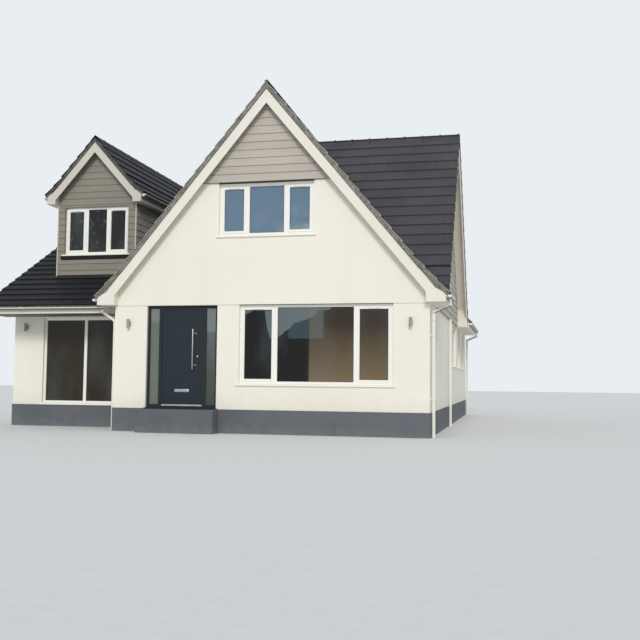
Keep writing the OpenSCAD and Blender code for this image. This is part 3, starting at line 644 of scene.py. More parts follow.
@dataclass(frozen=True)
class PatternedGlass(Glazing):
    """Pressed obscured glazing beside the door, with painted reflections: greyer and darker in the right-hand
    pane, paler near the head.
    """

    # Painted reflection in the right-hand pane, and a paler one near the head
    right_top: str = "#626A70"
    right_low: str = "#525A55"
    head: str = "#8A918F"

    def tone(self, wiring: Wiring) -> Paint:
        """Tone green-grey left of the leaf, a painted reflection of blue-grey over olive right of it, and a
        paler painted reflection near the head.

        Args:
            wiring: the nodes of the material in the making.

        Returns:
            The colour.
        """
        w = wiring
        x, _, z = w.axes(w.place)
        right = w.mix(w.ramp(z, 1.2, 2.1), self.right_low, self.right_top)
        both = w.mix(w.ramp(x, 1.5, 1.6), self.colour, right)
        drift = w.spread(w.noise(90), -0.05, 0.05)
        # Painted reflection: a paler band above a sloped line near the head
        edge = w.maths("ADD", w.line(x, -0.16, 2.86), drift)
        return w.over(both, self.head, w.maths("SUBTRACT", z, edge), -0.42, -0.36, 0.7)


@dataclass(frozen=True)
class FloorBoards(Finish):
    """Sanded softwood floor boards, 140 mm wide, oiled."""

    name: str = "oiled_softwood_floor_boards"
    colour: str = "#B08C63"
    pale: str = "#C7A67D"
    deep: str = "#7E5E3E"
    board_w: float = 0.14

    def shader(self, wiring: Wiring) -> Socket:
        """Boards along Y with grain, a tint each, and dark joints.

        Args:
            wiring: the nodes of the material in the making.

        Returns:
            The shader.
        """
        w = wiring
        across = w.maths("DIVIDE", w.axes(w.place)[0], self.board_w)
        grain = w.noise(18, (1, 0.05, 1), 6)
        joint = w.ramp(w.maths("FRACT", across), 0.0, 0.03, 1, 0)
        colour = w.mix(w.random(w.maths("FLOOR", across)), self.colour, self.pale)
        colour = w.over(colour, self.deep, grain, 0.45, 0.7, 0.6)
        relief = w.bump(w.maths("SUBTRACT", grain, joint), 0.8)
        return w.surface(w.mix(joint, colour, self.deep), w.spread(grain, 0.4, 0.6), relief)


@dataclass(frozen=True)
class BackdropPaper(Finish):
    """Pale studio paper that the house stands on, matt and almost even."""

    name: str = "matt_pale_backdrop_paper"
    colour: str = "#DDDDDB"
    pale: str = "#E1E1DF"

    def shader(self, wiring: Wiring) -> Socket:
        """Paper with a very faint mottle."""
        return wiring.surface(wiring.over(self.colour, self.pale, wiring.noise(60), 0.3, 0.7), 0.9)


# Matt cream paint on render, and the darker paint under it
RENDER = PaintedRender()
PLINTH = PlinthPaint()
# Boards on the body's gables run 166 mm apart; the dormer's are 156 mm apart and painted darker, as painted
# shade
GABLE_FIRST_Z, DORMER_FOOT_Z, SIDE_GABLE_FIRST_Z = 5.21, 3.489, 2.655
DORMER_BOARD_H = 0.156
GABLE_CLADDING = CladdingBoard(first_z=GABLE_FIRST_Z)
# On the side gable the painted shadow at each lap is darker and stronger
SIDE_CLADDING = CladdingBoard(
    "moulded_cladding_board_side", lap="#45413B", lap_shadow_share=0.8, first_z=SIDE_GABLE_FIRST_Z, along_x=False
)
DORMER_CLADDING = CladdingBoard(
    "moulded_cladding_board_dormer", "#8F897E", "#9A9489", "#7F796E",
    board_h=DORMER_BOARD_H, first_z=DORMER_FOOT_Z,
)
CHEEK_CLADDING = CladdingBoard(
    "moulded_cladding_board_cheek", "#B8B1A7", "#C2BBB1", "#A49D93",
    board_h=DORMER_BOARD_H, first_z=DORMER_FOOT_Z, along_x=False,
)
# The same tiles throughout: the right slopes show their plain colour, the left slopes and the dormer are
# painted darker, and the wing darkest, as painted shade
TILES_RIGHT = ConcreteTile()
TILES_LEFT = ConcreteTile("coated_concrete_tile_blue_charcoal", "#303137", "#3A3B42", "#27272D", "#4A4A50")
TILES_WING = ConcreteTile("coated_concrete_tile_blue_black", "#1B1C21", "#23242A", "#15151A", "#303036")
# Sawn ends and mortar show as a pale line along the body's verges; the wing's and dormer's mortar is painted
# darker, as painted shade
TILE_ENDS = ConcreteTile("sawn_concrete_tile_ends", "#9A978E", "#ABA89F", "#77746D", "#B5B2A8")
MORTAR = VergeMortar()
DARK_MORTAR = VergeMortar("verge_mortar_painted_shade", "#55534B", "#6E6C62", "#34332E")
# Satin white boards, glossier white extrusions, and the warmer white of moulded gutters
WHITE_BOARD = Plastic("foamed_white_roofline_board", "#EAE5D8", "#CFC8B8", 0.4)
# The wing's and dormer's boards are the same white board, painted greyer as painted shade
PAINTED_SHADE_BOARD = Plastic("foamed_white_roofline_board_dulled", "#CFCABD", "#B3AD9F", 0.5)
# The wing's deep soffit is the same white board, painted dark as painted shade
SOFFIT_BOARD = Plastic("foamed_soffit_board_stained", "#6A665B", "#56534A", 0.55)
# The drip bead is coloured darker than the render, as the painted shadow line under it
DRIP_BEAD = Plastic("drip_bead_painted_shadow", "#C6C1B3", "#A9A496", 0.55)
WHITE_FRAME = Plastic("extruded_white_window_frame", "#F5F3EC", "#DDD9CC", 0.22, dirt_share=0.1)
WHITE_GUTTER = Plastic(
    "moulded_white_rainwater_goods", "#EDEAE0", "#C9C3B3", 0.3, dirt_share=0.28, underside_shade_share=0.8
)
# A dark foil with a pressed wood grain wraps the door frame; the door's skin is moulded
DARK_FRAME = Plastic(
    "foiled_dark_grey_door_frame", "#2D3133", "#393D3E", 0.42, grain_mm=9.0, specular=0.15
)
DOOR_SKIN = Plastic(
    "moulded_blue_grey_door_skin", "#2A3238", "#333B41", 0.42,
    grain_mm=11.0, grain_depth_mm=0.6, specular=0.15,
)
# Soft black rubber holds the glass; it is matt and swallows light
GASKET = Plastic("extruded_black_glazing_rubber", "#1B1C1D", "#2C2D2D", 0.6, grain_mm=14.0)
# Satin stainless steel on the door, zinc clips and lead on the roof, powder coat on the lamps
STEEL = Metal("satin_brushed_stainless_steel", "#B4B6B8", "#95979A", 0.34, 0.9)
ZINC = Metal("galvanised_steel_dulled", "#8E9090", "#77797A", 0.6, 0.2)
LEAD = Metal("dressed_milled_lead_sheet", "#1D1C1B", "#2A2A2B", 0.75, 0.1, 40.0, (1, 1, 1), 1.2)
LAMP_COAT = Metal(
    "powder_coated_grey_aluminium", "#A09C93", "#8A867D", 0.5, 0.0, 9.0, (1, 1, 1), 0.12
)
# Panes are clear, with painted reflections and rooms; the sidelights have a pressed pattern that blurs, with
# painted reflections; the lamps' lenses are frosted
CLEAR_GLASS = HouseGlass("sealed_double_glazing_clear", "#5B6770", "#8A98A0")
OBSCURED_GLASS = PatternedGlass(
    "sealed_double_glazing_obscured", "#727A70", "#8E9790", 0.35, 0.15, ripple_mm=28.0, ripple_depth_mm=1.6
)
LAMP_GLASS = Glazing(
    "frosted_lamp_lens", "#E8E6DC", "#D8D6CC", 0.45, 0.3, ripple_mm=12.0, ripple_depth_mm=0.3
)
# Warm oiled boards upstairs and pale floated concrete below show faintly through the panes
FLOOR_BOARDS = FloorBoards()
FLOOR_CONCRETE = PlinthPaint("floated_concrete_floor", "#A9A39A", "#B9B4AA", "#8F8A82", 40.0)


# The bench


class Pick(Enum):
    """Which elements a selection test looks at."""

    VERTS = "VERT"
    EDGES = "EDGE"
    FACES = "FACE"


def deselect() -> None:
    """Leave nothing selected, in object mode."""
    if bpy.context.object is not None and bpy.context.object.mode != "OBJECT":
        bpy.ops.object.mode_set(mode="OBJECT")
    bpy.ops.object.select_all(action="DESELECT")


class Workpiece:
    """A mesh on the bench: a primitive that edit-mode operators shape in its place."""

    def __init__(self, obj: bpy.types.Object) -> None:
        """Take a mesh object onto the bench."""
        self.obj = obj

    def named(self, name: str) -> "Workpiece":
        """Give the object and its mesh a name."""
        self.obj.name = self.obj.data.name = name
        return self

    @classmethod
    def fresh(cls, name: str, scale: Point = (1, 1, 1)) -> "Workpiece":
        """Name the primitive that was just added, and settle its size and place in its mesh.

        Args:
            name: the piece's name.
            scale: its size along each axis.

        Returns:
            The piece on the bench.
        """
        piece = cls(bpy.context.object).named(name)
        piece.obj.scale = scale
        bpy.ops.object.transform_apply(location=True, rotation=True, scale=True)
        return piece

    @classmethod
    def block(cls, name: str, low: Sequence[float], high: Sequence[float]) -> "Workpiece":
        """Start from a cube.

        Args:
            name: the piece's name.
            low: its lowest x, y and z.
            high: its highest x, y and z.

        Returns:
            The block on the bench.
        """
        deselect()
        bpy.ops.mesh.primitive_cube_add(size=1, location=[(a + b) / 2 for a, b in zip(low, high)])
        return cls.fresh(name, tuple(b - a for a, b in zip(low, high)))

    @classmethod
    def rod(
        cls, name: str, start: Point, end: Point, radius: float, sides: int = 24, open_ended: bool = False
    ) -> "Workpiece":
        """Start from a cylinder between two points.

        Args:
            name: the piece's name.
            start: middle of one end.
            end: middle of the other end.
            radius: the rod's radius.
            sides: faces round it.
            open_ended: leaves the two ends open.

        Returns:
            The rod on the bench.
        """
        deselect()
        line = Vector(end) - Vector(start)
        bpy.ops.mesh.primitive_cylinder_add(
            vertices=sides,
            radius=radius,
            depth=line.length,
            rotation=line.to_track_quat("Z", "Y").to_euler(),
            location=(Vector(start) + Vector(end)) / 2,
            end_fill_type="NOTHING" if open_ended else "NGON",
        )
        return cls.fresh(name)

    @classmethod
    def ring(cls, name: str, low: Pair, high: Pair, width: float, depths: Pair) -> "Workpiece":
        """Make a rectangular ring that faces the front: a plane, inset, hollowed and extruded.

        Args:
            name: the piece's name.
            low: outer left and lower edges, x and z.
            high: outer right and upper edges, x and z.
            width: width of the ring's members.
            depths: y of its front and back.

        Returns:
            The ring on the bench.
        """
        deselect()
        bpy.ops.mesh.primitive_plane_add(
            size=1,
            rotation=(math.pi / 2, 0, 0),
            location=((low[0] + high[0]) / 2, depths[0], (low[1] + high[1]) / 2),
        )
        piece = cls.fresh(name, (high[0] - low[0], high[1] - low[1], 1))
        with piece.edit():
            bpy.ops.mesh.inset(thickness=width)
            bpy.ops.mesh.delete(type="FACE")
            bpy.ops.mesh.select_all(action="SELECT")
            bpy.ops.mesh.extrude_region_move(
                TRANSFORM_OT_translate={"value": (0, depths[1] - depths[0], 0)}
            )
            bpy.ops.mesh.select_all(action="SELECT")
            bpy.ops.mesh.normals_make_consistent(inside=False)
        return piece

    @contextmanager
    def alone(self) -> Iterator[None]:
        """Hold the piece selected and active, with nothing else.

        Yields:
            Nothing, while the piece is held.
        """
        deselect()
        self.obj.select_set(True)
        bpy.context.view_layer.objects.active = self.obj
        yield
        self.obj.select_set(False)

    @contextmanager
    def edit(self) -> Iterator[None]:
        """Hold the piece in edit mode, with all of it selected.

        Yields:
            Nothing, while the piece is in edit mode.
        """
        with self.alone():
            bpy.ops.object.mode_set(mode="EDIT")
            bpy.ops.mesh.select_all(action="SELECT")
            yield
            bpy.ops.object.mode_set(mode="OBJECT")

    def pick(self, kind: Pick, test: Test) -> None:
        """Select, in edit mode, what passes the test.

        Args:
            kind: verts, edges or faces.
            test: takes the element's middle and its normal, or an edge's direction.
        """
        bpy.ops.mesh.select_mode(type=kind.value)
        bpy.ops.mesh.select_all(action="DESELECT")
        mesh = bmesh.from_edit_mesh(self.obj.data)
        if kind is Pick.VERTS:
            for vert in mesh.verts:
                vert.select = test(vert.co, vert.normal)
        elif kind is Pick.EDGES:
            for edge in mesh.edges:
                a, b = edge.verts[0].co, edge.verts[1].co
                edge.select = test((a + b) / 2, (b - a).normalized())
        else:
            for face in mesh.faces:
                face.select = test(face.calc_center_median(), face.normal)
        mesh.select_flush_mode()
        bmesh.update_edit_mesh(self.obj.data)

    def bevel(self, width: float, segments: int = 2, test: Test | None = None) -> "Workpiece":
        """Round the edges that pass the test, or all of them.

        Args:
            width: how far the rounding reaches.
            segments: faces across it.
            test: picks by the element's middle and its normal, or an edge's direction.

        Returns:
            The same piece.
        """
        with self.edit():
            self.pick(Pick.EDGES, test or (lambda middle, along: True))
            bpy.ops.mesh.bevel(offset=width, segments=segments, affect="EDGES")
        return self

    def shift(self, test: Test, offset: Point) -> "Workpiece":
        """Move the corners that pass the test.

        Args:
            test: picks by the element's middle and its normal, or an edge's direction.
            offset: how far they move.

        Returns:
            The same piece.
        """
        with self.edit():
            self.pick(Pick.VERTS, test)
            bpy.ops.transform.translate(value=offset)
        return self

    def press(self, test: Test, inset: float, depth: Point) -> "Workpiece":
        """Inset the faces that pass the test, then extrude them.

        Args:
            test: picks by the element's middle and its normal, or an edge's direction.
            inset: width of the rim that is left.
            depth: how far the faces move.

        Returns:
            The same piece.
        """
        with self.edit():
            self.pick(Pick.FACES, test)
            bpy.ops.mesh.inset(thickness=inset)
            bpy.ops.mesh.extrude_region_move(TRANSFORM_OT_translate={"value": depth})
        return self

    def cut(self, point: Sequence[float], normal: Sequence[float]) -> "Workpiece":
        """Cut off and close what lies beyond a plane.

        Args:
            point: a point on the plane.
            normal: points to what is cut off.

        Returns:
            The same piece.
        """
        with self.edit():
            bpy.ops.mesh.select_mode(type="VERT")
            bpy.ops.mesh.bisect(plane_co=point, plane_no=normal, use_fill=True, clear_outer=True)
        return self

    def changed(self, kind: str, **settings: object) -> "Workpiece":
        """Add a modifier with its settings, and apply it.

        Args:
            kind: the modifier's type.
            settings: its properties by name.

        Returns:
            The same piece.
        """
        modifier = self.obj.modifiers.new("change", kind)
        for key, value in settings.items():
            setattr(modifier, key, value)
        with self.alone():
            bpy.ops.object.modifier_apply(modifier=modifier.name)
        return self

    def repeat(self, count: int, step: Point) -> "Workpiece":
        """Repeat the mesh by a step.

        Args:
            count: how many there are in all.
            step: from each to the next.

        Returns:
            The same piece.
        """
        if count == 1:
            return self
        offsets = {"use_relative_offset": False, "use_constant_offset": True}
        return self.changed("ARRAY", count=count, constant_offset_displace=step, **offsets)

    def place(self, matrix: Matrix) -> "Workpiece":
        """Move the mesh; a mirrored one gets its faces turned back out.

        Args:
            matrix: the move.

        Returns:
            The same piece.
        """
        self.obj.data.transform(matrix)
        if matrix.determinant() < 0:
            with self.edit():
                bpy.ops.mesh.flip_normals()
        return self

    def twin(self, name: str, matrix: Matrix) -> "Workpiece":
        """Copy the piece with its own mesh.

        Args:
            name: the copy's name.
            matrix: moves the copy.

        Returns:
            The copy.
        """
        obj = self.obj.copy()
        obj.data = self.obj.data.copy()
        bpy.context.scene.collection.objects.link(obj)
        return Workpiece(obj).named(name).place(matrix)

    @staticmethod
    def joined(name: str, parts: Sequence["Workpiece"]) -> "Workpiece":
        """Join pieces into one.

        Args:
            name: the name of the whole.
            parts: one piece or more.

        Returns:
            The whole.
        """
        deselect()
        if len(parts) > 1:
            for part in parts:
                part.obj.select_set(True)
            bpy.context.view_layer.objects.active = parts[0].obj
            bpy.ops.object.join()
            parts[0].obj.select_set(False)
        return parts[0].named(name)

    def smooth(self) -> "Workpiece":
        """Shade round faces smooth and leave edges over 35 degrees sharp.

        Returns:
            The same piece.
        """
        with self.alone():
            bpy.ops.object.shade_smooth_by_angle(angle=math.radians(35))
        return self

    def dress(
        self, finish: Finish, slot: str, body: str = HOUSE, stands_for: Sequence[str] = ()
    ) -> "Workpiece":
        """Give the piece its finish and its place in the frame, and report it.

        Args:
            finish: the piece's material.
            slot: the record's material slot; not used.
            body: the CAD body it rides on.
            stands_for: CAD nodes that it replaces.

        Returns:
            The finished piece.
        """
        self.obj.data.materials.clear()
        self.obj.data.materials.append(finish.material())
        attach(self.obj, body)
        if stands_for:
            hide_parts(*stands_for)
        LOG.info("%s: %d faces, on %s", self.obj.name, len(self.obj.data.polygons), body)
        return self

    def second_finish(self, finish: Finish, test: Test) -> None:
        """Give the faces that pass the test another finish.

        Args:
            finish: the other finish.
            test: picks by the element's middle and its normal, or an edge's direction.
        """
        self.obj.data.materials.append(finish.material())
        for face in self.obj.data.polygons:
            if test(face.center, face.normal):
                face.material_index = 1


@dataclass(frozen=True)
class Refined:
    """A CAD node copied with rounded edges, which then stands for the node."""

    node: str
    suffix: str
    width: float
    finish: Finish
    slot: str
    segments: int = 2
    body: str = HOUSE
    smooth: bool = False

    def build(self) -> Workpiece:
        """Copy the node, merge its loose triangles, round its edges and dress it.

        Returns:
            The finished piece.
        """
        obj = bpy.data.objects.new(self.node, bpy.data.objects[self.node].data.copy())
        bpy.context.scene.collection.objects.link(obj)
        piece = Workpiece(obj).named(f"{self.node}_{self.suffix}")
        with piece.edit():
            bpy.ops.mesh.remove_doubles(threshold=0.00005)
            bpy.ops.mesh.dissolve_limited(angle_limit=math.radians(0.6))
        sharp = {"limit_method": "ANGLE", "angle_limit": math.radians(25), "use_clamp_overlap": True}
        piece.changed("BEVEL", width=self.width, segments=self.segments, **sharp)
        if self.smooth:
            piece.smooth()
        return piece.dress(self.finish, self.slot, self.body, [self.node])


# The house's own measures


@dataclass(frozen=True)
class RoofForm:
    """One pitched roof: two slopes that fall from a ridge, with a flatter kick at the eaves."""

    run: float
    ridge_z: float
    pitch_deg: float
    kick_run: float
    kick_deg: float

    @property
    def pitch(self) -> float:
        """The main pitch in radians."""
        return math.radians(self.pitch_deg)

    @property
    def kick(self) -> float:
        """The pitch at the eaves in radians."""
        return math.radians(self.kick_deg)

    def z(self, run: float) -> float:
        """Find the height of the tile bed.

        Args:
            run: distance from the ridge on plan.

        Returns:
            The height.
        """
        straight = self.run - self.kick_run
        fall = math.tan(self.pitch) * min(run, straight)
        return self.ridge_z - fall - math.tan(self.kick) * max(0.0, run - straight)

    def course(self, up: float) -> tuple[float, float, float]:
        """Find a course of tiles.

        Args:
            up: distance up the slope from the eaves.

        Returns:
            Run from the ridge, height, and pitch in degrees.
        """
        kick_length = self.kick_run / math.cos(self.kick)
        if up < kick_length - 0.05:
            run = self.run - up * math.cos(self.kick)
            return run, self.z(run), self.kick_deg
        run = self.run - self.kick_run - (up - kick_length) * math.cos(self.pitch)
        return run, self.z(run), self.pitch_deg

    def length(self) -> float:
        """Return the slope's length from the eaves to the ridge."""
        straight = (self.run - self.kick_run) / math.cos(self.pitch)
        return self.kick_run / math.cos(self.kick) + straight

    def stretches(self) -> list[tuple[float, float, float, float]]:
        """List the slope's straight stretches from the ridge down.

        Returns:
            For each: run and height of its upper end, its length, and its pitch in radians.
        """
        runs = [0.0, self.run - self.kick_run] + ([self.run] if self.kick_run else [])
        made = []
        for r0, r1 in zip(runs, runs[1:]):
            fall = self.z(r0) - self.z(r1)
            made.append((r0, self.z(r0), math.hypot(r1 - r0, fall), math.atan2(fall, r1 - r0)))
        return made


MAIN = RoofForm(3.73, 7.23, 50.301, 0.58, 46.286)
WING = RoofForm(4.31, 2.69 + 4.31 * math.tan(math.radians(29.5)), 29.5, 0.0, 29.5)
DORMER = RoofForm(1.25, 6.79, 48.482, 0.30, 44.018)
BODY_W, BODY_D, RIDGE_X, SIDE_RIDGE_Y = 6.7, 12.3, 3.35, 4.51
WING_X0, WING_Y0, DORMER_Y0 = -3.1, 1.16, 1.6
DORMER_X0, DORMER_X1, DORMER_RIDGE_X = -2.33, -0.31, -1.32
WING_Y1, DORMER_Y1 = 2 * SIDE_RIDGE_Y - WING_Y0, 2 * SIDE_RIDGE_Y - DORMER_Y0
# Underside of the lintels, and the top of the dormer's corner trims under its eaves
HEAD_Z, DORMER_EAVES_Z = 2.645, 5.215
# Where the roofs end beyond the walls
BODY_VERGES = (-0.2, BODY_D + 0.2)
DORMER_VERGES = (DORMER_Y0 - 0.2, DORMER_Y1 + 0.2)
SIDE_VERGE_X = BODY_W + 0.3
WING_VERGE_X = WING_X0 - 0.25
# Points on the ridges on plan
BODY_RIDGE, SIDE_RIDGE, DORMER_RIDGE = (RIDGE_X, 0), (0, SIDE_RIDGE_Y), (DORMER_RIDGE_X, 0)
# Moves of what is made for the front: to the rear of the body or wing, or to the right wall
MIRROR_Y = Matrix.Scale(-1, 4, (0, 1, 0))
REAR_OF_BODY = Matrix.Translation((0, BODY_D, 0)) @ MIRROR_Y
REAR_OF_WING = Matrix.Translation((0, 2 * SIDE_RIDGE_Y, 0)) @ MIRROR_Y
ON_RIGHT_WALL = Matrix.Translation((BODY_W, 0, 0)) @ Matrix.Rotation(math.pi / 2, 4, "Z")


def sloped(origin: Sequence[float], angle: float, axis: str = "Y") -> Matrix:
    """Return the move that tilts a piece about an axis and then takes it to a place."""
    return Matrix.Translation(origin) @ Matrix.Rotation(angle, 4, axis)


class Facing(Enum):
    """Which way a slope falls from its ridge, as a turn about the upright."""

    RIGHT = 0.0
    REAR = 90.0
    LEFT = 180.0
    FRONT = -90.0

    @property
    def axis(self) -> int:
        """The world axis that the ridge runs along: 0 is x, 1 is y."""
        return 1 if self in (Facing.RIGHT, Facing.LEFT) else 0

    @property
    def sign(self) -> int:
        """-1 where the slope's own coordinate along the ridge runs against the world's."""
        return -1 if self in (Facing.LEFT, Facing.REAR) else 1

    def local(self, ridge: Pair, at: float) -> float:
        """Turn a world coordinate along the ridge into the slope's own."""
        return self.sign * (at - ridge[self.axis])

    def matrix(self, ridge: Pair) -> Matrix:
        """Return the move from run, along, height to the house's frame."""
        return sloped((ridge[0], ridge[1], 0), math.radians(self.value), "Z")


# The roof


def shade_copies(piece: Workpiece, count: int, rng: random.Random) -> None:
    """Give each copy in a repeated piece its own shade.

    Args:
        piece: the repeated piece.
        count: how many copies it holds.
        rng: where the shades come from.
    """
    per_copy = len(piece.obj.data.vertices) // count
    shade = piece.obj.data.attributes.new("tile_shade", "FLOAT", "POINT")
    shade.data.foreach_set("value", [v for _ in range(count) for v in [rng.random()] * per_copy])


@dataclass
class TiledSlope:
    """A slope covered with flat interlocking tiles, laid in courses from the eaves up."""

    name: str
    form: RoofForm
    facing: Facing
    ridge: Pair
    along: Pair  # world coordinates along the ridge, low and high
    finish: ConcreteTile
    cuts: Sequence[Plane] = ()
    gauge: float = 0.34
    cover: float = 0.30
    joint: float = 0.0003
    thickness: float = 0.026
    head_lap: float = 0.05
    bed: float = 0.034

    def tile(self) -> Workpiece:
        """Model one tile: run x, along y; rounded nose, sunk side lap, bevelled edges.

        Returns:
            The tile on the bench.
        """
        length = self.gauge + self.head_lap
        low = (-length, self.joint, -self.thickness)
        tile = Workpiece.block("tile", low, (0, self.cover - self.joint, 0))
        tile.bevel(0.007, 2, lambda m, d: m.x > -0.001 and abs(d.y) > 0.9 and m.z > -0.001)
        tile.bevel(0.002, 1, lambda m, d: m.z > -0.002 and abs(d.x) > 0.9 and m.y > 0.01)
        return tile.shift(lambda c, n: c.x < -0.1 and c.z < -0.001, (0, 0, 0.010))

    def build(self, seed: int) -> None:
        """Lay every course, cut the slope to its outline and shade each tile.

        Args:
            seed: picks the tiles' shades.
        """
        rng = random.Random(seed)
        low, high = self.along
        start = min(self.facing.local(self.ridge, at) for at in self.along)
        count = math.ceil((high - low) / self.cover) + 1
        master = self.tile().repeat(count, (0, self.cover, 0))
        tilt = math.atan2(self.thickness, self.gauge)
        rows = []
        for row in range(math.ceil((self.form.length() - 0.06) / self.gauge)):
            run, z, pitch_deg = self.form.course(row * self.gauge)
            pitch = math.radians(pitch_deg)
            lead = Vector((math.sin(pitch), 0, math.cos(pitch))) * self.bed
            nose = Vector((run, start - (self.cover / 2 if row % 2 else 0.0), z)) + lead
            rows.append(master.twin(f"{self.name}_course_{row}", sloped(nose, pitch - tilt)))
            shade_copies(rows[-1], count, rng)
        bpy.data.objects.remove(master.obj)
        slope = Workpiece.joined(self.name, rows).place(self.facing.matrix(self.ridge))
        axis = self.facing.axis
        out = Vector((1 - axis, axis, 0))
        for point, normal in ((out * low, -out), (out * high, out), *self.cuts):
            slope.cut(point, normal)
        slope.dress(self.finish, "roof_tiles")
        if self.form is MAIN:
            slope.second_finish(
                TILE_ENDS,
                lambda c, n: min(abs(c[axis] - low), abs(c[axis] - high)) < 0.001 and abs(n[axis]) > 0.95,
            )


@dataclass
class RidgeRun:
    """Angled ridge tiles, 450 mm long, bedded end to end with a raised band at each joint."""

    name: str
    form: RoofForm
    facing: Facing  # the way one of its slopes falls
    ridge: Pair
    along: Pair
    tile_l: float = 0.45
    gap: float = 0.006
    band_w: float = 0.050
    reach: float = 0.115
    rise: float = 0.045
    thickness: float = 0.03

    def half_pair(self, name: str, length: float, lift: float) -> Workpiece:
        """Model a pair of leaves that lean on each other, with a rounded crown.

        Args:
            name: the pair's name.
            length: its length along y.
            lift: how far it stands above the plain leaves.

        Returns:
            The pair on the bench.
        """
        top = self.form.ridge_z + self.rise
        size = (self.reach + lift * 0.6, length, top + lift)
        half = Workpiece.block(name, (0, 0, top - self.thickness), size)
        half.shift(lambda c, n: c.x > 0.01, (0, 0, -math.tan(self.form.pitch) * self.reach))
        other = half.twin("leaf_left", Matrix.Scale(-1, 4, (1, 0, 0)))
        pair = Workpiece.joined(name, [half, other])
        with pair.edit():
            pair.pick(Pick.FACES, lambda m, n: abs(m.x) < 1e-5 and abs(n.x) > 0.9)
            bpy.ops.mesh.delete(type="FACE")
            bpy.ops.mesh.select_all(action="SELECT")
            bpy.ops.mesh.remove_doubles(threshold=0.0001)
        pair.bevel(0.018, 3, lambda m, d: abs(m.x) < 1e-5 and abs(d.y) > 0.9 and m.z > top - 0.01)
        return pair.bevel(0.005, 1, lambda m, d: abs(m.x) > self.reach - 0.001 and abs(d.y) > 0.9)

    def tile(self) -> Workpiece:
        """Model one ridge tile along y, with a knob over its band on the main roofs.

        Returns:
            The tile on the bench.
        """
        parts = [
            self.half_pair("leaf", self.tile_l - self.gap, 0.0),
            self.half_pair("band", self.band_w, 0.008),
        ]
        if self.form is MAIN:
            top = self.form.ridge_z + self.rise
            knob = Workpiece.block("knob", (-0.030, 0.006, top - 0.03), (0.030, 0.044, top + 0.024))
            parts.append(knob.bevel(0.009, 2, lambda m, d: m.z > top))
        return Workpiece.joined("ridge_tile", parts)

    def build(self) -> Workpiece:
        """Lay the ridge tiles along the ridge and cut the last one to length.

        Returns:
            The run of tiles on the bench.
        """
        low, high = self.along
        count = math.ceil((high - low) / self.tile_l)
        tiles = self.tile().repeat(count, (0, self.tile_l, 0)).named(self.name)
        shade_copies(tiles, count, random.Random(7))
        if self.facing is Facing.RIGHT:
            return tiles.place(Matrix.Translation((self.ridge[0], low, 0))).cut((0, high, 0), (0, 1, 0))
        tiles.place(sloped((high, self.ridge[1], 0), math.pi / 2, "Z"))
        return tiles.cut((low, 0, 0), (-1, 0, 0))


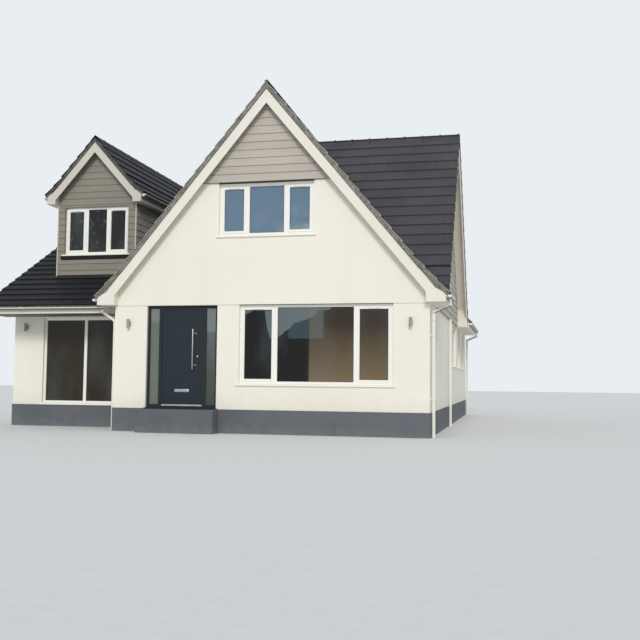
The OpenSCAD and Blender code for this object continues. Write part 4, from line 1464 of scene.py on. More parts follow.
@dataclass
class Roof:
    """All tiles of the house: the slopes in fifteen stretches, and four ridges."""

    verge_lap: float = 0.014
    small_gauge: float = 0.30
    first_seed: int = 2
    valley_gap: float = 0.015  # left open on each side for the lead of the valley
    inner_x: float = 1.6  # the wing's slopes run on into the main slope, and are cut there
    wing_ridge_x: float = 1.9  # and so does its ridge
    side_ridge_start: float = 0.08  # from the middle of the main ridge

    def valley(self, turn: int, keep_side_roof: bool) -> Plane:
        """Find the upright plane of a valley.

        Args:
            turn: 1 for the rear valley, -1 for the front one.
            keep_side_roof: whether the side roof stays, or the main one.

        Returns:
            The plane, whose normal points to what is cut off.
        """
        normal = Vector((1, -turn, 0)).normalized() * (-1 if keep_side_roof else 1)
        return Vector((RIDGE_X, SIDE_RIDGE_Y, 0)) - normal * self.valley_gap, normal

    def main_left_plane(self) -> Plane:
        """Return the plane of the main left slope's tiles, normal into the main roof."""
        point = (RIDGE_X - 1.0, 0.0, MAIN.z(1.0) + 0.02)
        return point, (math.sin(MAIN.pitch), 0.0, -math.cos(MAIN.pitch))

    def body_slopes(self) -> Iterator[TiledSlope]:
        """List the slopes of the body and its side gable with the planes that trim them.

        Yields:
            The seven slopes.
        """
        lap = self.verge_lap
        front, rear = BODY_VERGES[0] - lap, BODY_VERGES[1] + lap
        left = (("front", (front, WING_Y0)), ("middle", (WING_Y0, WING_Y1)), ("rear", (WING_Y1, rear)))
        for part, along in left:
            # The middle stretch ends at the body's wall, because the wing's ceiling runs under it
            cuts = [((0, 0, 0), (-1, 0, 0))] if part == "middle" else []
            yield TiledSlope(
                f"tiles_main_left_{part}", MAIN, Facing.LEFT, BODY_RIDGE, along, TILES_LEFT, cuts
            )
        halves = (("front", -1, (front, SIDE_RIDGE_Y)), ("rear", 1, (SIDE_RIDGE_Y, rear)))
        for part, turn, along in halves:
            yield TiledSlope(
                f"tiles_main_right_{part}", MAIN, Facing.RIGHT, BODY_RIDGE, along, TILES_RIGHT,
                [self.valley(turn, False)],
            )
        for part, turn, _ in halves:
            yield TiledSlope(
                f"tiles_side_{part}", MAIN, Facing[part.upper()], SIDE_RIDGE,
                (RIDGE_X, SIDE_VERGE_X + lap), TILES_RIGHT, [self.valley(turn, True)],
            )

    def small_slopes(self) -> Iterator[TiledSlope]:
        """List the slopes of the dormer, and the wing's in parts that go round the dormer.

        Yields:
            The eight slopes.
        """
        lap = self.verge_lap
        along = (DORMER_VERGES[0] - lap, DORMER_VERGES[1] + lap)
        for facing in (Facing.LEFT, Facing.RIGHT):
            yield TiledSlope(
                f"tiles_dormer_{facing.name.lower()}", DORMER, facing, DORMER_RIDGE, along, TILES_LEFT,
                gauge=self.small_gauge,
            )
        for facing, face_y, inward in ((Facing.FRONT, DORMER_Y0, 1), (Facing.REAR, DORMER_Y1, -1)):
            spans = (
                ("outer", (WING_VERGE_X - lap, DORMER_X0), []),
                ("below", (DORMER_X0, DORMER_X1), [((0, face_y, 0), (0, inward, 0))]),
                ("inner", (DORMER_X1, self.inner_x), [self.main_left_plane()]),
            )
            for part, along, cuts in spans:
                yield TiledSlope(
                    f"tiles_wing_{facing.name.lower()}_{part}", WING, facing, SIDE_RIDGE, along,
                    TILES_WING, cuts, gauge=self.small_gauge,
                )

    def ridges(self) -> None:
        """Lay the ridge tiles of the body, side gable, wing and dormer."""
        main = RidgeRun("ridge_main", MAIN, Facing.RIGHT, BODY_RIDGE, BODY_VERGES)
        along = (RIDGE_X + self.side_ridge_start, SIDE_VERGE_X)
        side = RidgeRun("ridge_side", MAIN, Facing.FRONT, SIDE_RIDGE, along)
        dormer = RidgeRun("ridge_dormer", DORMER, Facing.RIGHT, DORMER_RIDGE, DORMER_VERGES)
        outer = RidgeRun("ridge_wing_outer", WING, Facing.FRONT, SIDE_RIDGE, (WING_VERGE_X, DORMER_X0))
        along = (DORMER_X1, self.wing_ridge_x)
        inner = RidgeRun("ridge_wing_inner", WING, Facing.FRONT, SIDE_RIDGE, along)
        right = Workpiece.joined("ridge_tiles_right", [main.build(), side.build()]).smooth()
        right.dress(TILES_RIGHT, "ridge_tiles", stands_for=["ridge_tiles"])
        dormer.build().smooth().dress(TILES_LEFT, "ridge_tiles")
        wing = [outer.build(), inner.build().cut(*self.main_left_plane())]
        Workpiece.joined("ridge_tiles_wing", wing).smooth().dress(TILES_WING, "ridge_tiles")

    def build(self) -> None:
        """Lay all slopes and ridges."""
        slopes = [*self.body_slopes(), *self.small_slopes()]
        for seed, slope in enumerate(slopes, self.first_seed):
            slope.build(seed)
        self.ridges()


# Cladding


@dataclass
class Boarding:
    """A wall face of horizontal boards, each standing proud at its lower edge."""

    name: str
    low: Pair  # left and lower edge in the wall's own x and z
    high: Pair
    face: float  # depth at which the boards lie on
    first_z: float
    board_h: float
    proud: float = 0.012
    tuck: float = 0.003

    def build(self) -> Workpiece:
        """Shape one board, repeat it up the wall, and trim it to the face's edges.

        Returns:
            The boarded face on the bench.
        """
        (x0, z0), (x1, z1) = self.low, self.high
        face, height = self.face, self.board_h
        start = self.first_z + math.floor((z0 - self.first_z) / height + 1e-6) * height
        board = Workpiece.block(self.name, (x0, face - self.proud, start), (x1, face + 0.001, start + height))
        board.shift(
            lambda c, n: c.y < face - 0.001 and c.z > start + 0.01, (0, self.proud - self.tuck, 0)
        )
        board.bevel(0.004, 2, lambda m, d: m.z < start + 0.001 and m.y < face - 0.005 and abs(d.x) > 0.9)
        board.repeat(math.ceil((z1 - start) / height + 1e-6), (0, 0, height))
        if start < z0 - 1e-5:
            board.cut((0, 0, z0), (0, 0, -1))
        return board.cut((0, 0, z1), (0, 0, 1))


@dataclass
class Cladding:
    """The boarded faces: both end gables, the side gable, the dormer's ends and cheeks."""

    board_h: float = 0.1665
    skin: float = 0.030  # thickness of the CAD skin that the gables' boards lie on
    under_tiles: float = 0.088  # from the tile bed down to the boards, square to the slope
    front_edges: Pair = (1.0, 5.7)
    side_half: float = 3.29
    top_z: float = 7.2  # a little above the peak that the roof cuts the boards to
    dormer_top_z: float = 6.78
    dormer_window: tuple[Pair, Pair] = ((-2.145, 3.997), (-0.515, 5.16))  # left, sill; right, head
    sill_drop: float = 0.09
    corner_w: float = 0.027
    corner_out: float = 0.004

    def under_roof(self, boards: Workpiece, form: RoofForm, ridge: float) -> None:
        """Cut boards off below the tiles of both slopes.

        Args:
            boards: the boarded face, across x.
            form: the roof over it.
            ridge: the ridge's place on x.
        """
        top = (ridge, 0, form.ridge_z - self.under_tiles / math.cos(form.pitch))
        for side in (-1, 1):
            boards.cut(top, (side * math.sin(form.pitch), 0, math.cos(form.pitch)))

    def gables(self) -> None:
        """Board the front, rear and side gables."""
        spans = (
            ("boards_front_gable", self.front_edges, GABLE_FIRST_Z, RIDGE_X),
            (
                "boards_side_gable",
                (SIDE_RIDGE_Y - self.side_half, SIDE_RIDGE_Y + self.side_half),
                SIDE_GABLE_FIRST_Z,
                SIDE_RIDGE_Y,
            ),
        )
        made = []
        for name, (low, high), first_z, ridge in spans:
            edges = (low, first_z), (high, self.top_z)
            made.append(Boarding(name, *edges, -self.skin, first_z, self.board_h).build())
            self.under_roof(made[-1], MAIN, ridge)
        front, side = made
        rear = front.twin("boards_rear_gable", REAR_OF_BODY)
        for piece in (front, rear):
            piece.dress(GABLE_CLADDING, "weatherboard")
        side.place(ON_RIGHT_WALL).dress(SIDE_CLADDING, "weatherboard")

    def dormer_ends(self) -> None:
        """Board the dormer's end walls round their windows, and trim their corners."""
        (left, sill), (right, head) = self.dormer_window
        x0, x1 = DORMER_X0 + 0.022, DORMER_X1 - 0.022
        sill, head = sill - self.sill_drop, head + 0.01
        spans = (
            ((x0, DORMER_FOOT_Z), (x1, sill)),
            ((x0, sill), (left, head)),
            ((right, sill), (x1, head)),
            ((x0, head), (x1, self.dormer_top_z)),
        )
        parts = [
            Boarding("end", low, high, DORMER_Y0, DORMER_FOOT_Z, DORMER_BOARD_H).build()
            for low, high in spans
        ]
        front = Workpiece.joined("boards_dormer_front", parts)
        self.under_roof(front, DORMER, DORMER_RIDGE_X)
        corners = []
        for edge in (DORMER_X0 - self.corner_out, DORMER_X1 + self.corner_out - self.corner_w):
            low = (edge, DORMER_Y0 - 0.016, DORMER_FOOT_Z - 0.01)
            high = (edge + self.corner_w, DORMER_Y0 + 0.03, DORMER_EAVES_Z)
            corners.append(Workpiece.block("corner", low, high).bevel(0.004))
        trims = Workpiece.joined("dormer_front_trims", corners)
        for piece, rear, finish, slot in (
            (front, "boards_dormer_rear", DORMER_CLADDING, "weatherboard"),
            (trims, "dormer_rear_trims", PAINTED_SHADE_BOARD, "white_board"),
        ):
            for made in (piece, piece.twin(rear, REAR_OF_WING)):
                made.dress(finish, slot)

    def cheeks(self) -> None:
        """Board the dormer's cheeks down to the wing's tiles and the main slope."""
        rise = math.tan(WING.pitch)
        inset = 0.03
        halves = (
            ("front", DORMER_Y0 + inset, SIDE_RIDGE_Y, 1),
            ("rear", SIDE_RIDGE_Y, DORMER_Y1 - inset, -1),
        )
        for side, x, sign in (("left", DORMER_X0, -1), ("right", DORMER_X1, 1)):
            for half, y0, y1, fall in halves:
                low, high = (y0, y1) if sign > 0 else (-y1, -y0)
                edges = (low, 3.3), (high, DORMER_EAVES_Z)
                name = f"boards_cheek_{side}_{half}"
                boards = Boarding(name, *edges, 0.0, DORMER_FOOT_Z, DORMER_BOARD_H).build()
                boards.place(sloped((x, 0, 0), sign * math.pi / 2, "Z"))
                boards.cut((0, SIDE_RIDGE_Y, WING.ridge_z), (0, fall * rise, -1))
                boards.dress(CHEEK_CLADDING, "weatherboard")

    def build(self) -> None:
        """Board every gable, end and cheek."""
        self.gables()
        self.dormer_ends()
        self.cheeks()


# Windows


@dataclass(frozen=True)
class Light:
    """One light of a window: its edges inside the frame, and whether it opens."""

    x0: float
    x1: float
    z0: float
    z1: float
    opens: bool

    def ring(self, name: str, grow: float, width: float, depths: Pair) -> Workpiece:
        """Make a ring along the light's edges.

        Args:
            name: the ring's name.
            grow: how far it reaches out past the edges.
            width: width of its members.
            depths: y of its front and back.

        Returns:
            The ring.
        """
        low, high = (self.x0 - grow, self.z0 - grow), (self.x1 + grow, self.z1 + grow)
        return Workpiece.ring(name, low, high, width, depths)


class Wall(Enum):
    """The walls with windows: each one's place, and whether it faces the rear."""

    FRONT = (0.0, False)
    REAR = (BODY_D, True)
    WING_FRONT = (WING_Y0, False)
    WING_REAR = (WING_Y1, True)
    DORMER_FRONT = (DORMER_Y0, False)
    DORMER_REAR = (DORMER_Y1, True)
    RIGHT = (BODY_W, False)  # its place is along x, and that of the others along y

    def matrix(self) -> Matrix:
        """Find the move from a frame whose wall face is y = 0 to the house's frame.

        Returns:
            The move.
        """
        if self is Wall.RIGHT:
            return ON_RIGHT_WALL
        back, mirrored = self.value
        return Matrix.Translation((0, back, 0)) @ (MIRROR_Y if mirrored else Matrix.Identity(4))


@dataclass
class Window:
    """The small parts of one window: rubbers, beads, trickle vents and the seals of its sashes."""

    name: str
    wall: Wall
    x0: float
    z0: float
    width: float
    height: float
    # Right edge of each light as a share of the width, and whether it opens
    shares: tuple[tuple[float, bool], ...]
    frame_w: float = 0.050
    sash_w: float = 0.048
    mullion: float = 0.066
    reveal: float = 0.060
    proud: float = 0.012
    glass_in: float = 0.023
    line_w: float = 0.004

    def lights(self) -> Iterator[Light]:
        """List the window's lights between its members.

        Yields:
            The lights from left to right.
        """
        low, high = self.z0 + self.frame_w, self.z0 + self.height - self.frame_w
        left = self.x0 + self.frame_w
        for share, opens in self.shares:
            middle = self.x0 + share * self.width
            right = middle - (self.frame_w if share == 1 else self.mullion / 2)
            yield Light(left, right, low, high, opens)
            left = middle + self.mullion / 2

    def vent(self, light: Light, front: float) -> Workpiece:
        """Make a trickle vent in the head of an opening light.

        Args:
            light: the opening light.
            front: y of its sash's front.

        Returns:
            The vent.
        """
        middle = (light.x0 + light.x1) / 2
        reach = min(0.125, (light.x1 - light.x0) / 2 - 0.05)
        low = (middle - reach, front - 0.016, light.z1 - 0.036)
        high = (middle + reach, front + 0.001, light.z1 - 0.014)
        vent = Workpiece.block("vent", low, high)
        vent.bevel(0.005, 2, lambda m, d: m.y < front - 0.01)
        return vent.press(lambda m, n: n.z < -0.9, 0.004, (0, 0, 0.004))

    def build(self) -> None:
        """Make and dress the window's rubbers and its white trims."""
        rubbers, whites = [], []
        glass_y, line = self.reveal + self.glass_in, self.line_w
        for light in self.lights():
            rim = self.sash_w if light.opens else 0.0
            front = self.reveal - (self.proud if light.opens else 0.0)
            # A chamfered bead against the glass, then a thin line of rubber
            bead_y = front + 0.006
            bead = light.ring("bead", -rim, line, (bead_y, glass_y + 0.001))
            whites.append(bead.bevel(0.0015, 1, lambda m, d: abs(m.y - bead_y) < 0.001))
            rubbers.append(light.ring("rubber", -rim - 0.0038, line, (glass_y - line, glass_y + 0.001)))
            if light.opens:
                whites.append(light.ring("seal", 0.005, 0.0055, (self.reveal - 0.003, self.reveal + 0.001)))
                whites.append(self.vent(light, front))
        for piece in rubbers + whites:
            piece.place(self.wall.matrix())
        Workpiece.joined(f"rubbers_{self.name}", rubbers).dress(GASKET, "white_frame")
        Workpiece.joined(f"beads_and_vents_{self.name}", whites).dress(WHITE_FRAME, "white_frame")


@dataclass
class Windows:
    """All windows: rounded frames and sills, with each window's small parts."""

    round_w: float = 0.004
    sill_round_w: float = 0.006
    side_sill_z: float = 1.528
    side_height: float = 1.117

    def windows(self) -> list[Window]:
        """List the windows of every wall.

        Returns:
            The windows.
        """
        big = ((0.24, True), (0.76, False), (1.0, True))
        upper = ((0.3, True), (0.7, False), (1.0, True))
        dormer = ((0.335, True), (0.665, False), (1.0, True))
        two_fixed = ((0.5, False), (1.0, False))
        one, two = ((1.0, True),), ((0.5, True), (1.0, True))
        made = []
        for wall in (Wall.FRONT, Wall.REAR):
            name = wall.name.lower()
            made.append(Window(f"big_{name}", wall, 2.779, 1.020, 3.195, 1.625, big))
            made.append(Window(f"upper_{name}", wall, 2.299, 4.096, 2.041, 1.084, upper))
        for wall in (Wall.WING_FRONT, Wall.WING_REAR):
            made.append(Window(wall.name.lower(), wall, -2.355, 0.528, 2.078, 1.962, two_fixed))
        for wall in (Wall.DORMER_FRONT, Wall.DORMER_REAR):
            made.append(Window(wall.name.lower(), wall, -2.145, 4.035, 1.630, 1.125, dormer))
        for name, y, width, lights in (("a", 6.25, 1.4, two), ("b", 8.50, 0.9, one), ("c", 10.25, 1.4, two)):
            sides = (y, self.side_sill_z, width, self.side_height)
            made.append(Window(f"side_{name}", Wall.RIGHT, *sides, lights))
        return made

    def build(self) -> None:
        """Round the CAD frames and sills, and add the small parts of each window."""
        for where in ("front", "rear", "side", "wing", "dormer"):
            node = f"{where}_windows"
            Refined(node, "extruded", self.round_w, WHITE_FRAME, "white_frame").build()
        Refined("window_sills", "rounded", self.sill_round_w, WHITE_FRAME, "white_frame", 3).build()
        for window in self.windows():
            window.build()


# The front door


@dataclass
class Entrance:
    """The front door with its frame, step, weather bar and small metal parts."""

    leaf_x: Pair = (1.048, 1.988)
    leaf_y: float = 0.074
    leaf_z: float = 0.533
    flap_w: float = 0.260
    flap_z: Pair = (0.846, 0.884)
    lock: Pair = (1.853, 1.580)
    sill_x: Pair = (0.700, 2.336)
    sill_z: Pair = (0.480, 0.512)
    sidelight_x: Pair = (0.785, 2.041)
    sidelight_w: float = 0.210
    sidelight_z: Pair = (0.570, 2.595)

    def weather_bar(self) -> None:
        """Fix a sloped steel bar to the foot of the leaf."""
        (x0, x1), y, z = self.leaf_x, self.leaf_y, self.leaf_z
        bar = Workpiece.block("bar", (x0 + 0.02, y - 0.030, z + 0.012), (x1 - 0.02, y + 0.001, z + 0.044))
        bar.shift(lambda c, n: c.y < y - 0.02 and c.z > z + 0.04, (0, 0.022, 0))
        bar.bevel(0.003).dress(STEEL, "steel", DOOR)

    def letter_flap(self) -> None:
        """Press the flap of the letter plate."""
        middle, half, y = sum(self.leaf_x) / 2, self.flap_w / 2, self.leaf_y
        low = (middle - half, y - 0.0115, self.flap_z[0])
        high = (middle + half, y - 0.0065, self.flap_z[1])
        flap = Workpiece.block("letter_flap", low, high).bevel(0.002)
        flap.press(lambda m, n: n.y < -0.99, 0.012, (0, 0.0015, 0)).dress(STEEL, "steel", DOOR)

    def key_cylinder(self) -> None:
        """Turn the lock's cylinder and raise its key slit."""
        (x, z), y = self.lock, self.leaf_y
        cylinder = Workpiece.rod("cylinder", (x, y - 0.008, z), (x, y - 0.014, z), 0.0165, 32)
        cylinder.press(lambda m, n: n.y < -0.99, 0.004, (0, 0.0015, 0))
        low, high = (x - 0.0015, y - 0.015, z - 0.007), (x + 0.0015, y - 0.0115, z + 0.007)
        parts = [cylinder, Workpiece.block("slit", low, high).bevel(0.001, 1)]
        Workpiece.joined("lock_cylinder", parts).smooth().dress(STEEL, "steel", DOOR)

    def sidelights(self) -> None:
        """Line both sidelights with a rubber and a bead."""
        (z0, z1), wide = self.sidelight_z, self.sidelight_w
        for name, grow, width, depths, finish in (
            ("rubbers_sidelights", 0.0, 0.007, (0.078, 0.084), GASKET),
            ("beads_sidelights", 0.001, 0.006, (0.064, 0.080), DARK_FRAME),
        ):
            lights = [Light(x, x + wide, z0, z1, False) for x in self.sidelight_x]
            rings = [light.ring(name, grow, width, depths) for light in lights]
            Workpiece.joined(name, rings).dress(finish, "dark_frame")

    def build(self) -> None:
        """Round the frame, leaf and step, and add what the solids leave out."""
        for part in (
            Refined("door_frame", "foiled", 0.004, DARK_FRAME, "dark_frame", smooth=True),
            Refined("door_leaf", "moulded", 0.0025, DOOR_SKIN, "door_skin", body=DOOR),
            Refined("door_furniture", "brushed", 0.002, STEEL, "steel", body=DOOR, smooth=True),
            Refined("door_step", "rounded", 0.012, PLINTH, "plinth_paint", 3),
        ):
            part.build()
        self.weather_bar()
        self.letter_flap()
        self.key_cylinder()
        low, high = zip(self.sill_x, (-0.030, 0.062), self.sill_z)
        sill = Workpiece.block("door_sill_weathered", low, high)
        sill.shift(lambda c, n: c.y < -0.01 and c.z > 0.5, (0, 0, -0.012)).bevel(0.004)
        sill.dress(DARK_FRAME, "dark_frame")
        self.sidelights()


# The roof's edges


@dataclass
class Roofline:
    """Boards at the roof's edges, with the thin strips under the verges."""

    strip_w: float = 0.016
    strip_h: float = 0.007
    under_tiles: float = 0.075  # from the tile bed down to the strips, square to the slope
    soffit_x: float = -0.3  # the wing's soffit lies left of this, below soffit_z
    soffit_z: float = 2.6

    def strip(self, form: RoofForm, facing: Facing, ridge: Pair, at: float, out: int) -> Workpiece:
        """Lay a thin undercloak strip along a slope's edge.

        Args:
            form: the roof's form.
            facing: the way the slope falls.
            ridge: a point of the ridge on plan.
            at: world coordinate of the verge along the ridge.
            out: -1 or 1, the way out from the verge.

        Returns:
            The strip.
        """
        made = []
        for run, z, length, angle in form.stretches():
            made.append(Workpiece.block("strip", (0, 0, 0), (length + 0.004, self.strip_w, self.strip_h)))
            drop = self.under_tiles / math.cos(form.pitch)
            if len(made) == len(form.stretches()):
                # The strip hangs less far below the tiles at the eaves
                drop *= 0.75
            made[-1].bevel(0.002, 1).place(sloped((run, 0, z - drop), angle))
        inward = 0.0 if out * facing.sign > 0 else self.strip_w
        strip = Workpiece.joined("strip", made)
        strip.place(Matrix.Translation((0, facing.local(ridge, at) - inward, 0)))
        return strip.place(facing.matrix(ridge))

    def build(self) -> None:
        """Round the boards, and lay an undercloak strip along every verge."""
        for node, finish in (
            ("main_bargeboards", WHITE_BOARD),
            ("wing_and_dormer_bargeboards", PAINTED_SHADE_BOARD),
        ):
            Refined(node, "rounded", 0.004, finish, "white_board").build()
        eaves = Refined("eaves_boards", "rounded", 0.003, WHITE_BOARD, "white_board").build()
        # The downward faces of the wing's soffit get painted shade
        eaves.second_finish(
            SOFFIT_BOARD, lambda c, n: n.z < -0.9 and c.x < self.soffit_x and c.z < self.soffit_z
        )
        body, left = [], []
        for facing in (Facing.LEFT, Facing.RIGHT):
            for end, out in ((0, -1), (1, 1)):
                body.append(self.strip(MAIN, facing, BODY_RIDGE, BODY_VERGES[end], out))
                left.append(self.strip(DORMER, facing, DORMER_RIDGE, DORMER_VERGES[end], out))
        for facing in (Facing.FRONT, Facing.REAR):
            body.append(self.strip(MAIN, facing, SIDE_RIDGE, SIDE_VERGE_X, 1))
            left.append(self.strip(WING, facing, SIDE_RIDGE, WING_VERGE_X, -1))
        Workpiece.joined("undercloak_strips_body", body).dress(MORTAR, "roof_tiles")
        Workpiece.joined("undercloak_strips_wing_and_dormer", left).dress(DARK_MORTAR, "roof_tiles")


def disc(
    name: str, spot: Pair, ends: Pair, radius: float, rounding: float, sides: int = 32, steps: int = 2
) -> Workpiece:
    """Turn an upright disc or collar, and round its rims.

    Args:
        name: the piece's name.
        spot: its middle on plan.
        ends: heights of its two ends.
        radius: its radius.
        rounding: width of the rounding.
        sides: faces round it.
        steps: faces across the rounding.

    Returns:
        The disc on the bench.
    """
    piece = Workpiece.rod(name, (*spot, ends[0]), (*spot, ends[1]), radius, sides)
    return piece.bevel(rounding, steps, lambda m, d: abs(d.z) < 0.1)


@dataclass
class Rainwater:
    """Gutter brackets and unions, pipe collars and clips."""

    radius: float = 0.056
    main_rim: float = 2.787
    wing_rim: float = 2.648
    dormer_rim: float = 5.385
    main_out: float = 3.68  # from each ridge to the back of its gutters
    wing_out: float = 4.26
    dormer_out: float = 1.20
    wing_x: Pair = (WING_VERGE_X, -0.33)
    left_spans: tuple[Pair, ...] = ((8.88, BODY_VERGES[1]),)  # the short one in front has none
    right_spans: tuple[Pair, ...] = ((BODY_VERGES[0], 0.83), (8.19, BODY_VERGES[1]))
    spacing: float = 0.9
    end_gap: float = 0.06
    bracket: Pair = (0.026, 0.004)  # width, and how far it stands out
    union: Pair = (0.09, 0.006)
    long_gutter: float = 3  # a longer one has a union
    pipe_r: float = 0.034
    clip_h: float = 0.034
    clip_z: Pair = (0.74, 1.99)
    # Place of each pipe on plan, and 1 on the right wall or -1 on the left
    pipes: tuple[Point, ...] = (
        (6.764, 0.1, 1),
        (6.764, 12.2, 1),
        (-0.064, 12.2, -1),
        (6.764, 4.6, 1),
        (-0.064, 0.134, -1),
        (-0.064, 8.886, -1),
    )

    def band(self, centre: Point, axis: int, width: float, grow: float) -> Workpiece:
        """Make a half-round band under a gutter.

        Args:
            centre: middle of the gutter's rim.
            axis: 0 or 1, for a gutter along x or y.
            width: the band's width along the gutter.
            grow: how far the band stands out from the gutter.

        Returns:
            The band.
        """
        x, y, z = centre
        dx, dy = (width / 2, 0.0) if axis == 0 else (0.0, width / 2)
        ends = (x - dx, y - dy, z), (x + dx, y + dy, z)
        ring = Workpiece.rod("band", *ends, self.radius + grow, 28, open_ended=True)
        with ring.edit():
            bpy.ops.mesh.bisect(plane_co=(x, y, z + 0.004), plane_no=(0, 0, 1), clear_outer=True)
        return ring.changed("SOLIDIFY", thickness=grow - 0.0005, offset=-1.0)

    def along(self, axis: int, fixed: float, span: Pair, rim: float) -> list[Workpiece]:
        """Space brackets along a gutter, with a wider union near the middle of a long one.

        Args:
            axis: 0 or 1, for a gutter along x or y.
            fixed: its place on the other axis.
            span: its two ends.
            rim: height of its rim.

        Returns:
            The bands.
        """
        low, high = span
        count = max(2, round((high - low) / self.spacing))
        made = []
        for i in range(count + 1):
            at = low + self.end_gap + (high - low - 2 * self.end_gap) * i / count
            centre = (at, fixed, rim) if axis == 0 else (fixed, at, rim)
            joint = i == count // 2 and high - low > self.long_gutter
            made.append(self.band(centre, axis, *(self.union if joint else self.bracket)))
        return made

    def brackets(self) -> None:
        """Place the bands of every gutter."""
        bands: list[Workpiece] = []
        for side in (-1, 1):
            x = RIDGE_X + side * (self.main_out + self.radius)
            for span in self.left_spans if side < 0 else self.right_spans:
                bands += self.along(1, x, span, self.main_rim)
            y = SIDE_RIDGE_Y + side * (self.wing_out + self.radius)
            bands += self.along(0, y, self.wing_x, self.wing_rim)
            x = DORMER_RIDGE_X + side * (self.dormer_out + self.radius)
            bands += self.along(1, x, DORMER_VERGES, self.dormer_rim)
        Workpiece.joined("gutter_brackets", bands).smooth().dress(WHITE_GUTTER, "white_gutter")

    def collars(self) -> None:
        """Place the sockets, collars and clips of every pipe."""
        made: list[Workpiece] = []
        clips = [(z, self.clip_h, 0.004) for z in self.clip_z]
        for x, y, side in self.pipes:
            for z, height, grow in (*clips, (2.30, 0.055, 0.006), (0.02, 0.04, 0.005)):
                made.append(disc("collar", (x, y), (z, z + height), self.pipe_r + grow, 0.0025, 28))
            back = x - side * self.pipe_r
            for z in self.clip_z:
                low, high = (back - 0.004, y - 0.045, z), (back + 0.004, y + 0.045, z + self.clip_h)
                made.append(Workpiece.block("lug", low, high).bevel(0.003, 1))
        Workpiece.joined("pipe_collars_and_clips", made).smooth().dress(WHITE_GUTTER, "white_gutter")

    def build(self) -> None:
        """Place the bands of the gutters and the collars of the pipes."""
        self.brackets()
        self.collars()


# Lamps, lead and small things


@dataclass
class LampDetails:
    """Rims and lenses on the up-and-down wall lights."""

    spots: tuple[Point, ...] = ((0.338, -0.075, 2.27), (6.33, -0.075, 2.27), (-2.79, 1.085, 2.27))
    radius: float = 0.032
    half_h: float = 0.09

    def build(self) -> None:
        """Add a rim and a lens at both ends of every lamp."""
        rims, lenses = [], []
        for x, y, z in self.spots:
            for side in (-1, 1):
                end = z + side * self.half_h
                ends = (end - side * 0.012, end + side * 0.003)
                rims.append(disc("rim", (x, y), ends, self.radius + 0.002, 0.0015, steps=1))
                ends = (end - side * 0.001, end + side * 0.005)
                lenses.append(disc("lens", (x, y), ends, self.radius - 0.005, 0.002))
        Workpiece.joined("lamp_rims", rims).smooth().dress(LAMP_COAT, "grey_metal")
        Workpiece.joined("lamp_lenses", lenses).smooth().dress(LAMP_GLASS, "grey_metal")


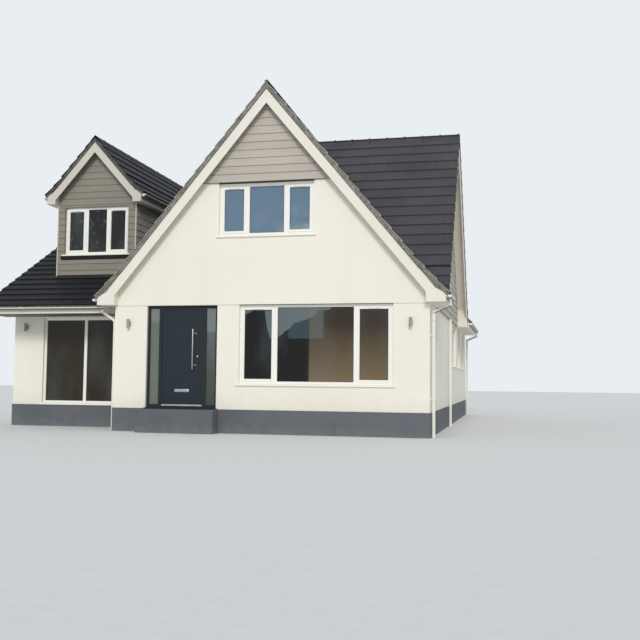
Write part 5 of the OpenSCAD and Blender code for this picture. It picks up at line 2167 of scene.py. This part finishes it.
@dataclass
class Weathering:
    """Lead aprons and valleys, drip beads, strips over the windows, and verge clips."""

    sill_apron: tuple[Pair, Pair] = ((-2.215, 3.905), (-0.445, 3.996))
    drip_step_x: float = 0.735  # the bead steps up by drip_step at the door frame's left edge
    drip_step: float = 0.002
    valley_w: float = 0.09
    clip_x: Pair = (SIDE_VERGE_X + 0.004, SIDE_VERGE_X + 0.020)
    clip_gauge: float = 0.34
    clip_rows: int = 15

    def aprons(self) -> None:
        """Dress lead under the dormer's windows and along its feet."""
        (x0, z0), (x1, z1) = self.sill_apron
        sill = Workpiece.block("sill_apron", (x0, DORMER_Y0 - 0.055, z0), (x1, DORMER_Y0 + 0.001, z1))
        sill.shift(lambda c, n: c.y < DORMER_Y0 - 0.03 and c.z < 3.95, (0, 0.035, 0)).bevel(0.004)
        bed = WING.z(SIDE_RIDGE_Y - DORMER_Y0)
        low, high = (DORMER_X0 - 0.02, -0.004, 0.0), (DORMER_X1 + 0.02, 0.004, 0.05)
        upright = Workpiece.block("foot_apron", low, high).bevel(0.002, 1)
        upright.place(Matrix.Translation((0, DORMER_Y0 - 0.008, bed + 0.01)))
        low, high = (DORMER_X0 - 0.05, -0.15, -0.003), (DORMER_X1 + 0.05, 0.0, 0.003)
        flat = Workpiece.block("foot_flat", low, high).bevel(0.002, 1)
        flat.place(sloped((0, DORMER_Y0 + 0.004, bed + 0.044), WING.pitch, "X"))
        lead = [made for piece in (sill, upright, flat) for made in (piece, piece.twin("rear", REAR_OF_WING))]
        Workpiece.joined("lead_aprons", lead).dress(LEAD, "grey_metal")

    def strips(self) -> None:
        """Fix the drip beads in the render, coloured as a painted shadow line, and the dark strips over the
        windows' heads, partly seal and partly painted shadow.
        """
        beads = []
        for x0, x1, up in ((0.0, self.drip_step_x, 0.0), (self.drip_step_x, BODY_W, self.drip_step)):
            low, high = (x0, -0.007, HEAD_Z - 0.004 + up), (x1, 0.001, HEAD_Z + 0.006 + up)
            beads.append(Workpiece.block("drip", low, high).bevel(0.002, 1))
        beads.append(beads[1].twin("drip_rear", REAR_OF_BODY))
        Workpiece.joined("render_drip_beads", beads).dress(DRIP_BEAD, "render")
        heads = []
        # Black strips under the boards over the upper window and along the wide window's head: partly seal,
        # partly painted shadow
        for low, high in (
            ((2.30, -0.036, 5.182), (4.34, -0.002, 5.209)),
            ((2.775, -0.010, HEAD_Z - 0.006), (5.978, -0.006, HEAD_Z + 0.007)),
        ):
            heads.append(Workpiece.block("strip", low, high).bevel(0.001, 1))
        heads += [head.twin("rear", REAR_OF_BODY) for head in heads]
        Workpiece.joined("head_seal_and_shadow_strips", heads).dress(GASKET, "weatherboard")

    def valleys(self) -> None:
        """Line both valleys with lead: a strip on each slope, trimmed beside the valley."""
        made = []
        middle = Vector((RIDGE_X, SIDE_RIDGE_Y, 0))
        for turn, side_facing in ((-1, Facing.FRONT), (1, Facing.REAR)):
            for facing, ridge, side in ((Facing.RIGHT, BODY_RIDGE, 1), (side_facing, SIDE_RIDGE, -1)):
                out = Vector((1, -turn, 0)).normalized() * side
                for run, z, length, angle in MAIN.stretches():
                    # Longer than the house, so that the cuts alone give the strip its ends
                    sheet = Workpiece.block("valley", (0, -13, 0.002), (length, 13, 0.006))
                    sheet.place(sloped((run, 0, z), angle)).place(facing.matrix(ridge))
                    sheet.cut(middle, out).cut(middle - out * self.valley_w, -out)
                    sheet.cut((SIDE_VERGE_X, 0, 0), (1, 0, 0)).cut((0, SIDE_RIDGE_Y, 0), (0, -turn, 0))
                    made.append(sheet)
        Workpiece.joined("lead_valleys", made).dress(LEAD, "grey_metal")

    def clips(self) -> None:
        """Clip the tiles along the side gable's verges, one clip a course."""
        made = []
        for row in range(1, self.clip_rows + 1):
            run, z, pitch_deg = MAIN.course(row * self.clip_gauge)
            for side in (-1, 1):
                low, high = (self.clip_x[0], -0.040, 0.0), (self.clip_x[1], 0.040, 0.046)
                clip = Workpiece.block("clip", low, high).bevel(0.004)
                spot = (0, SIDE_RIDGE_Y + side * run, z)
                made.append(clip.place(sloped(spot, math.radians(-side * pitch_deg), "X")))
        Workpiece.joined("verge_clips", made).dress(ZINC, "roof_tiles")

    def box_ends(self) -> None:
        """Close the wing's boxed eaves where they end under the body's eaves."""
        end = Workpiece.block("box_end", (-0.346, 0.27, 2.521), (-0.331, 1.155, 2.652)).bevel(0.002, 1)
        ends = [end, end.twin("box_end_rear", REAR_OF_WING)]
        Workpiece.joined("wing_box_ends", ends).dress(WHITE_BOARD, "white_board")

    def build(self) -> None:
        """Dress the lead, and fix the beads, strips, clips and box ends."""
        self.aprons()
        self.strips()
        self.valleys()
        self.clips()
        self.box_ends()


# The CAD solids


@dataclass
class Shell:
    """The CAD solids as they are, each with its finish; some finishes carry painted shade."""

    finishes: tuple[tuple[Finish, str], ...] = (
        (
            RENDER,
            "front_wall_left front_wall_right front_gable_wall right_wall right_gable_wall left_wall "
            "rear_wall rear_gable_wall wing_front_wall wing_side_wall wing_rear_wall",
        ),
        (PLINTH, "plinth door_step"),
        (FLOOR_CONCRETE, "ground_floor"),
        (FLOOR_BOARDS, "first_floor"),
        (GABLE_CLADDING, "gable_boards"),
        (DORMER_CLADDING, "dormer_end_walls dormer_cheeks"),
        (
            MORTAR,
            "main_roof_left main_roof_right_front main_roof_right_rear side_roof_front side_roof_rear",
        ),
        (DARK_MORTAR, "wing_roof_front wing_roof_rear dormer_roof_left dormer_roof_right"),
        (TILES_RIGHT, "ridge_tiles"),
        (WHITE_BOARD, "main_bargeboards wing_and_dormer_bargeboards eaves_boards"),
        (WHITE_GUTTER, "gutters downpipes"),
        (
            WHITE_FRAME,
            "front_windows side_windows rear_windows wing_windows dormer_windows window_sills",
        ),
        (DARK_FRAME, "door_frame"),
        (CLEAR_GLASS, "window_glass"),
        (OBSCURED_GLASS, "sidelight_glass"),
        (LAMP_COAT, "wall_lights"),
        (DOOR_SKIN, "door_leaf"),
        (STEEL, "door_furniture"),
    )

    def build(self, nodes: dict[str, bpy.types.Object]) -> None:
        """Give every CAD node its finish.

        Args:
            nodes: the frame's objects by node name.
        """
        for finish, names in self.finishes:
            for name in names.split():
                nodes[name].data.materials.clear()
                nodes[name].data.materials.append(finish.material())
                LOG.info("%s: CAD solid in %s", name, finish.name)


# The studio


@dataclass
class Studio:
    """Pale floor, soft sun and sky light, and the camera at the photograph's angle."""

    position: Point = (8.321, -16.897, 1.125)
    yaw_deg: float = 12.78
    pitch_deg: float = 3.954
    roll_deg: float = 0.557
    lens_mm: float = 48.36
    sensor_mm: float = 36
    farthest: float = 400
    sun_strength: float = 1.5
    sun_angle_deg: float = 17
    sun_colour: Point = (1.0, 0.965, 0.90)
    towards_sun: Point = (0.22, -1.0, 0.58)
    sky_strength: float = 0.72
    floor_size: float = 160

    def camera(self) -> None:
        """Set the camera up."""
        yaw, pitch, roll = (math.radians(v) for v in (self.yaw_deg, self.pitch_deg, self.roll_deg))
        forward = Vector((-math.sin(yaw), math.cos(yaw), 0))
        right, up = Vector((math.cos(yaw), math.sin(yaw), 0)), Vector((0, 0, 1))
        ahead = forward * math.cos(pitch) + up * math.sin(pitch)
        above = up * math.cos(pitch) - forward * math.sin(pitch)
        side = right * math.cos(roll) + above * math.sin(roll)
        top = above * math.cos(roll) - right * math.sin(roll)
        turn = Matrix((side, top, -ahead)).transposed().to_4x4()
        data = bpy.data.cameras.new("camera")
        data.lens, data.sensor_width, data.sensor_fit = self.lens_mm, self.sensor_mm, "HORIZONTAL"
        data.clip_end = self.farthest
        camera = bpy.data.objects.new("camera", data)
        camera.matrix_world = Matrix.Translation(self.position) @ turn
        bpy.context.scene.collection.objects.link(camera)
        bpy.context.scene.camera = camera

    def lamps(self) -> None:
        """Hang a wide soft sun at the front right, and light the world evenly."""
        data = bpy.data.lights.new("sun", "SUN")
        data.energy, data.angle = self.sun_strength, math.radians(self.sun_angle_deg)
        data.color = self.sun_colour
        sun = bpy.data.objects.new("sun", data)
        sun.rotation_euler = Vector(self.towards_sun).to_track_quat("Z", "Y").to_euler()
        bpy.context.scene.collection.objects.link(sun)
        world = bpy.data.worlds.new("studio")
        world.use_nodes = True
        bpy.context.scene.world = world
        tree = world.node_tree
        tree.nodes.clear()
        # Camera, mirrors and glass see a plain backdrop, and only the rest is lit by the sky
        rays = add_node(tree, "ShaderNodeLightPath").outputs
        wiring = Wiring(tree)
        mirrored = wiring.maths("MAXIMUM", rays["Is Glossy Ray"], rays["Is Transmission Ray"])
        seen = wiring.maths("MAXIMUM", rays["Is Camera Ray"], mirrored)
        lights = []
        for colour, strength in (("#E4ECF5", self.sky_strength), ("#E9EEF3", 1.0)):
            inputs = {"Color": colour, "Strength": strength}
            lights.append(add_node(tree, "ShaderNodeBackground", inputs=inputs).outputs[0])
        mix = add_node(tree, "ShaderNodeMixShader", inputs={0: seen, 1: lights[0], 2: lights[1]})
        add_node(tree, "ShaderNodeOutputWorld", inputs={"Surface": mix.outputs[0]})
        bpy.context.scene.view_settings.view_transform = "Standard"

    def floor(self) -> None:
        """Lay a wide pale floor."""
        deselect()
        bpy.ops.mesh.primitive_plane_add(size=self.floor_size, location=(3, 0, 0))
        floor = bpy.context.object
        floor.name = "studio_floor"
        bpy.ops.object.transform_apply(location=True, rotation=True, scale=True)
        floor.data.materials.append(BackdropPaper().material())

    def build(self) -> None:
        """Set up camera, lamps and floor."""
        self.camera()
        self.lamps()
        self.floor()


def main() -> None:
    """Load the frame and dress the house piece by piece."""
    logging.basicConfig(level=logging.INFO, format="%(message)s")
    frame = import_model()
    Studio().build()
    Shell().build(frame["nodes"])
    Roof().build()
    Cladding().build()
    Windows().build()
    Entrance().build()
    Roofline().build()
    Rainwater().build()
    LampDetails().build()
    Weathering().build()
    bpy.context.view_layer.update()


if __name__ == "__main__":
    main()
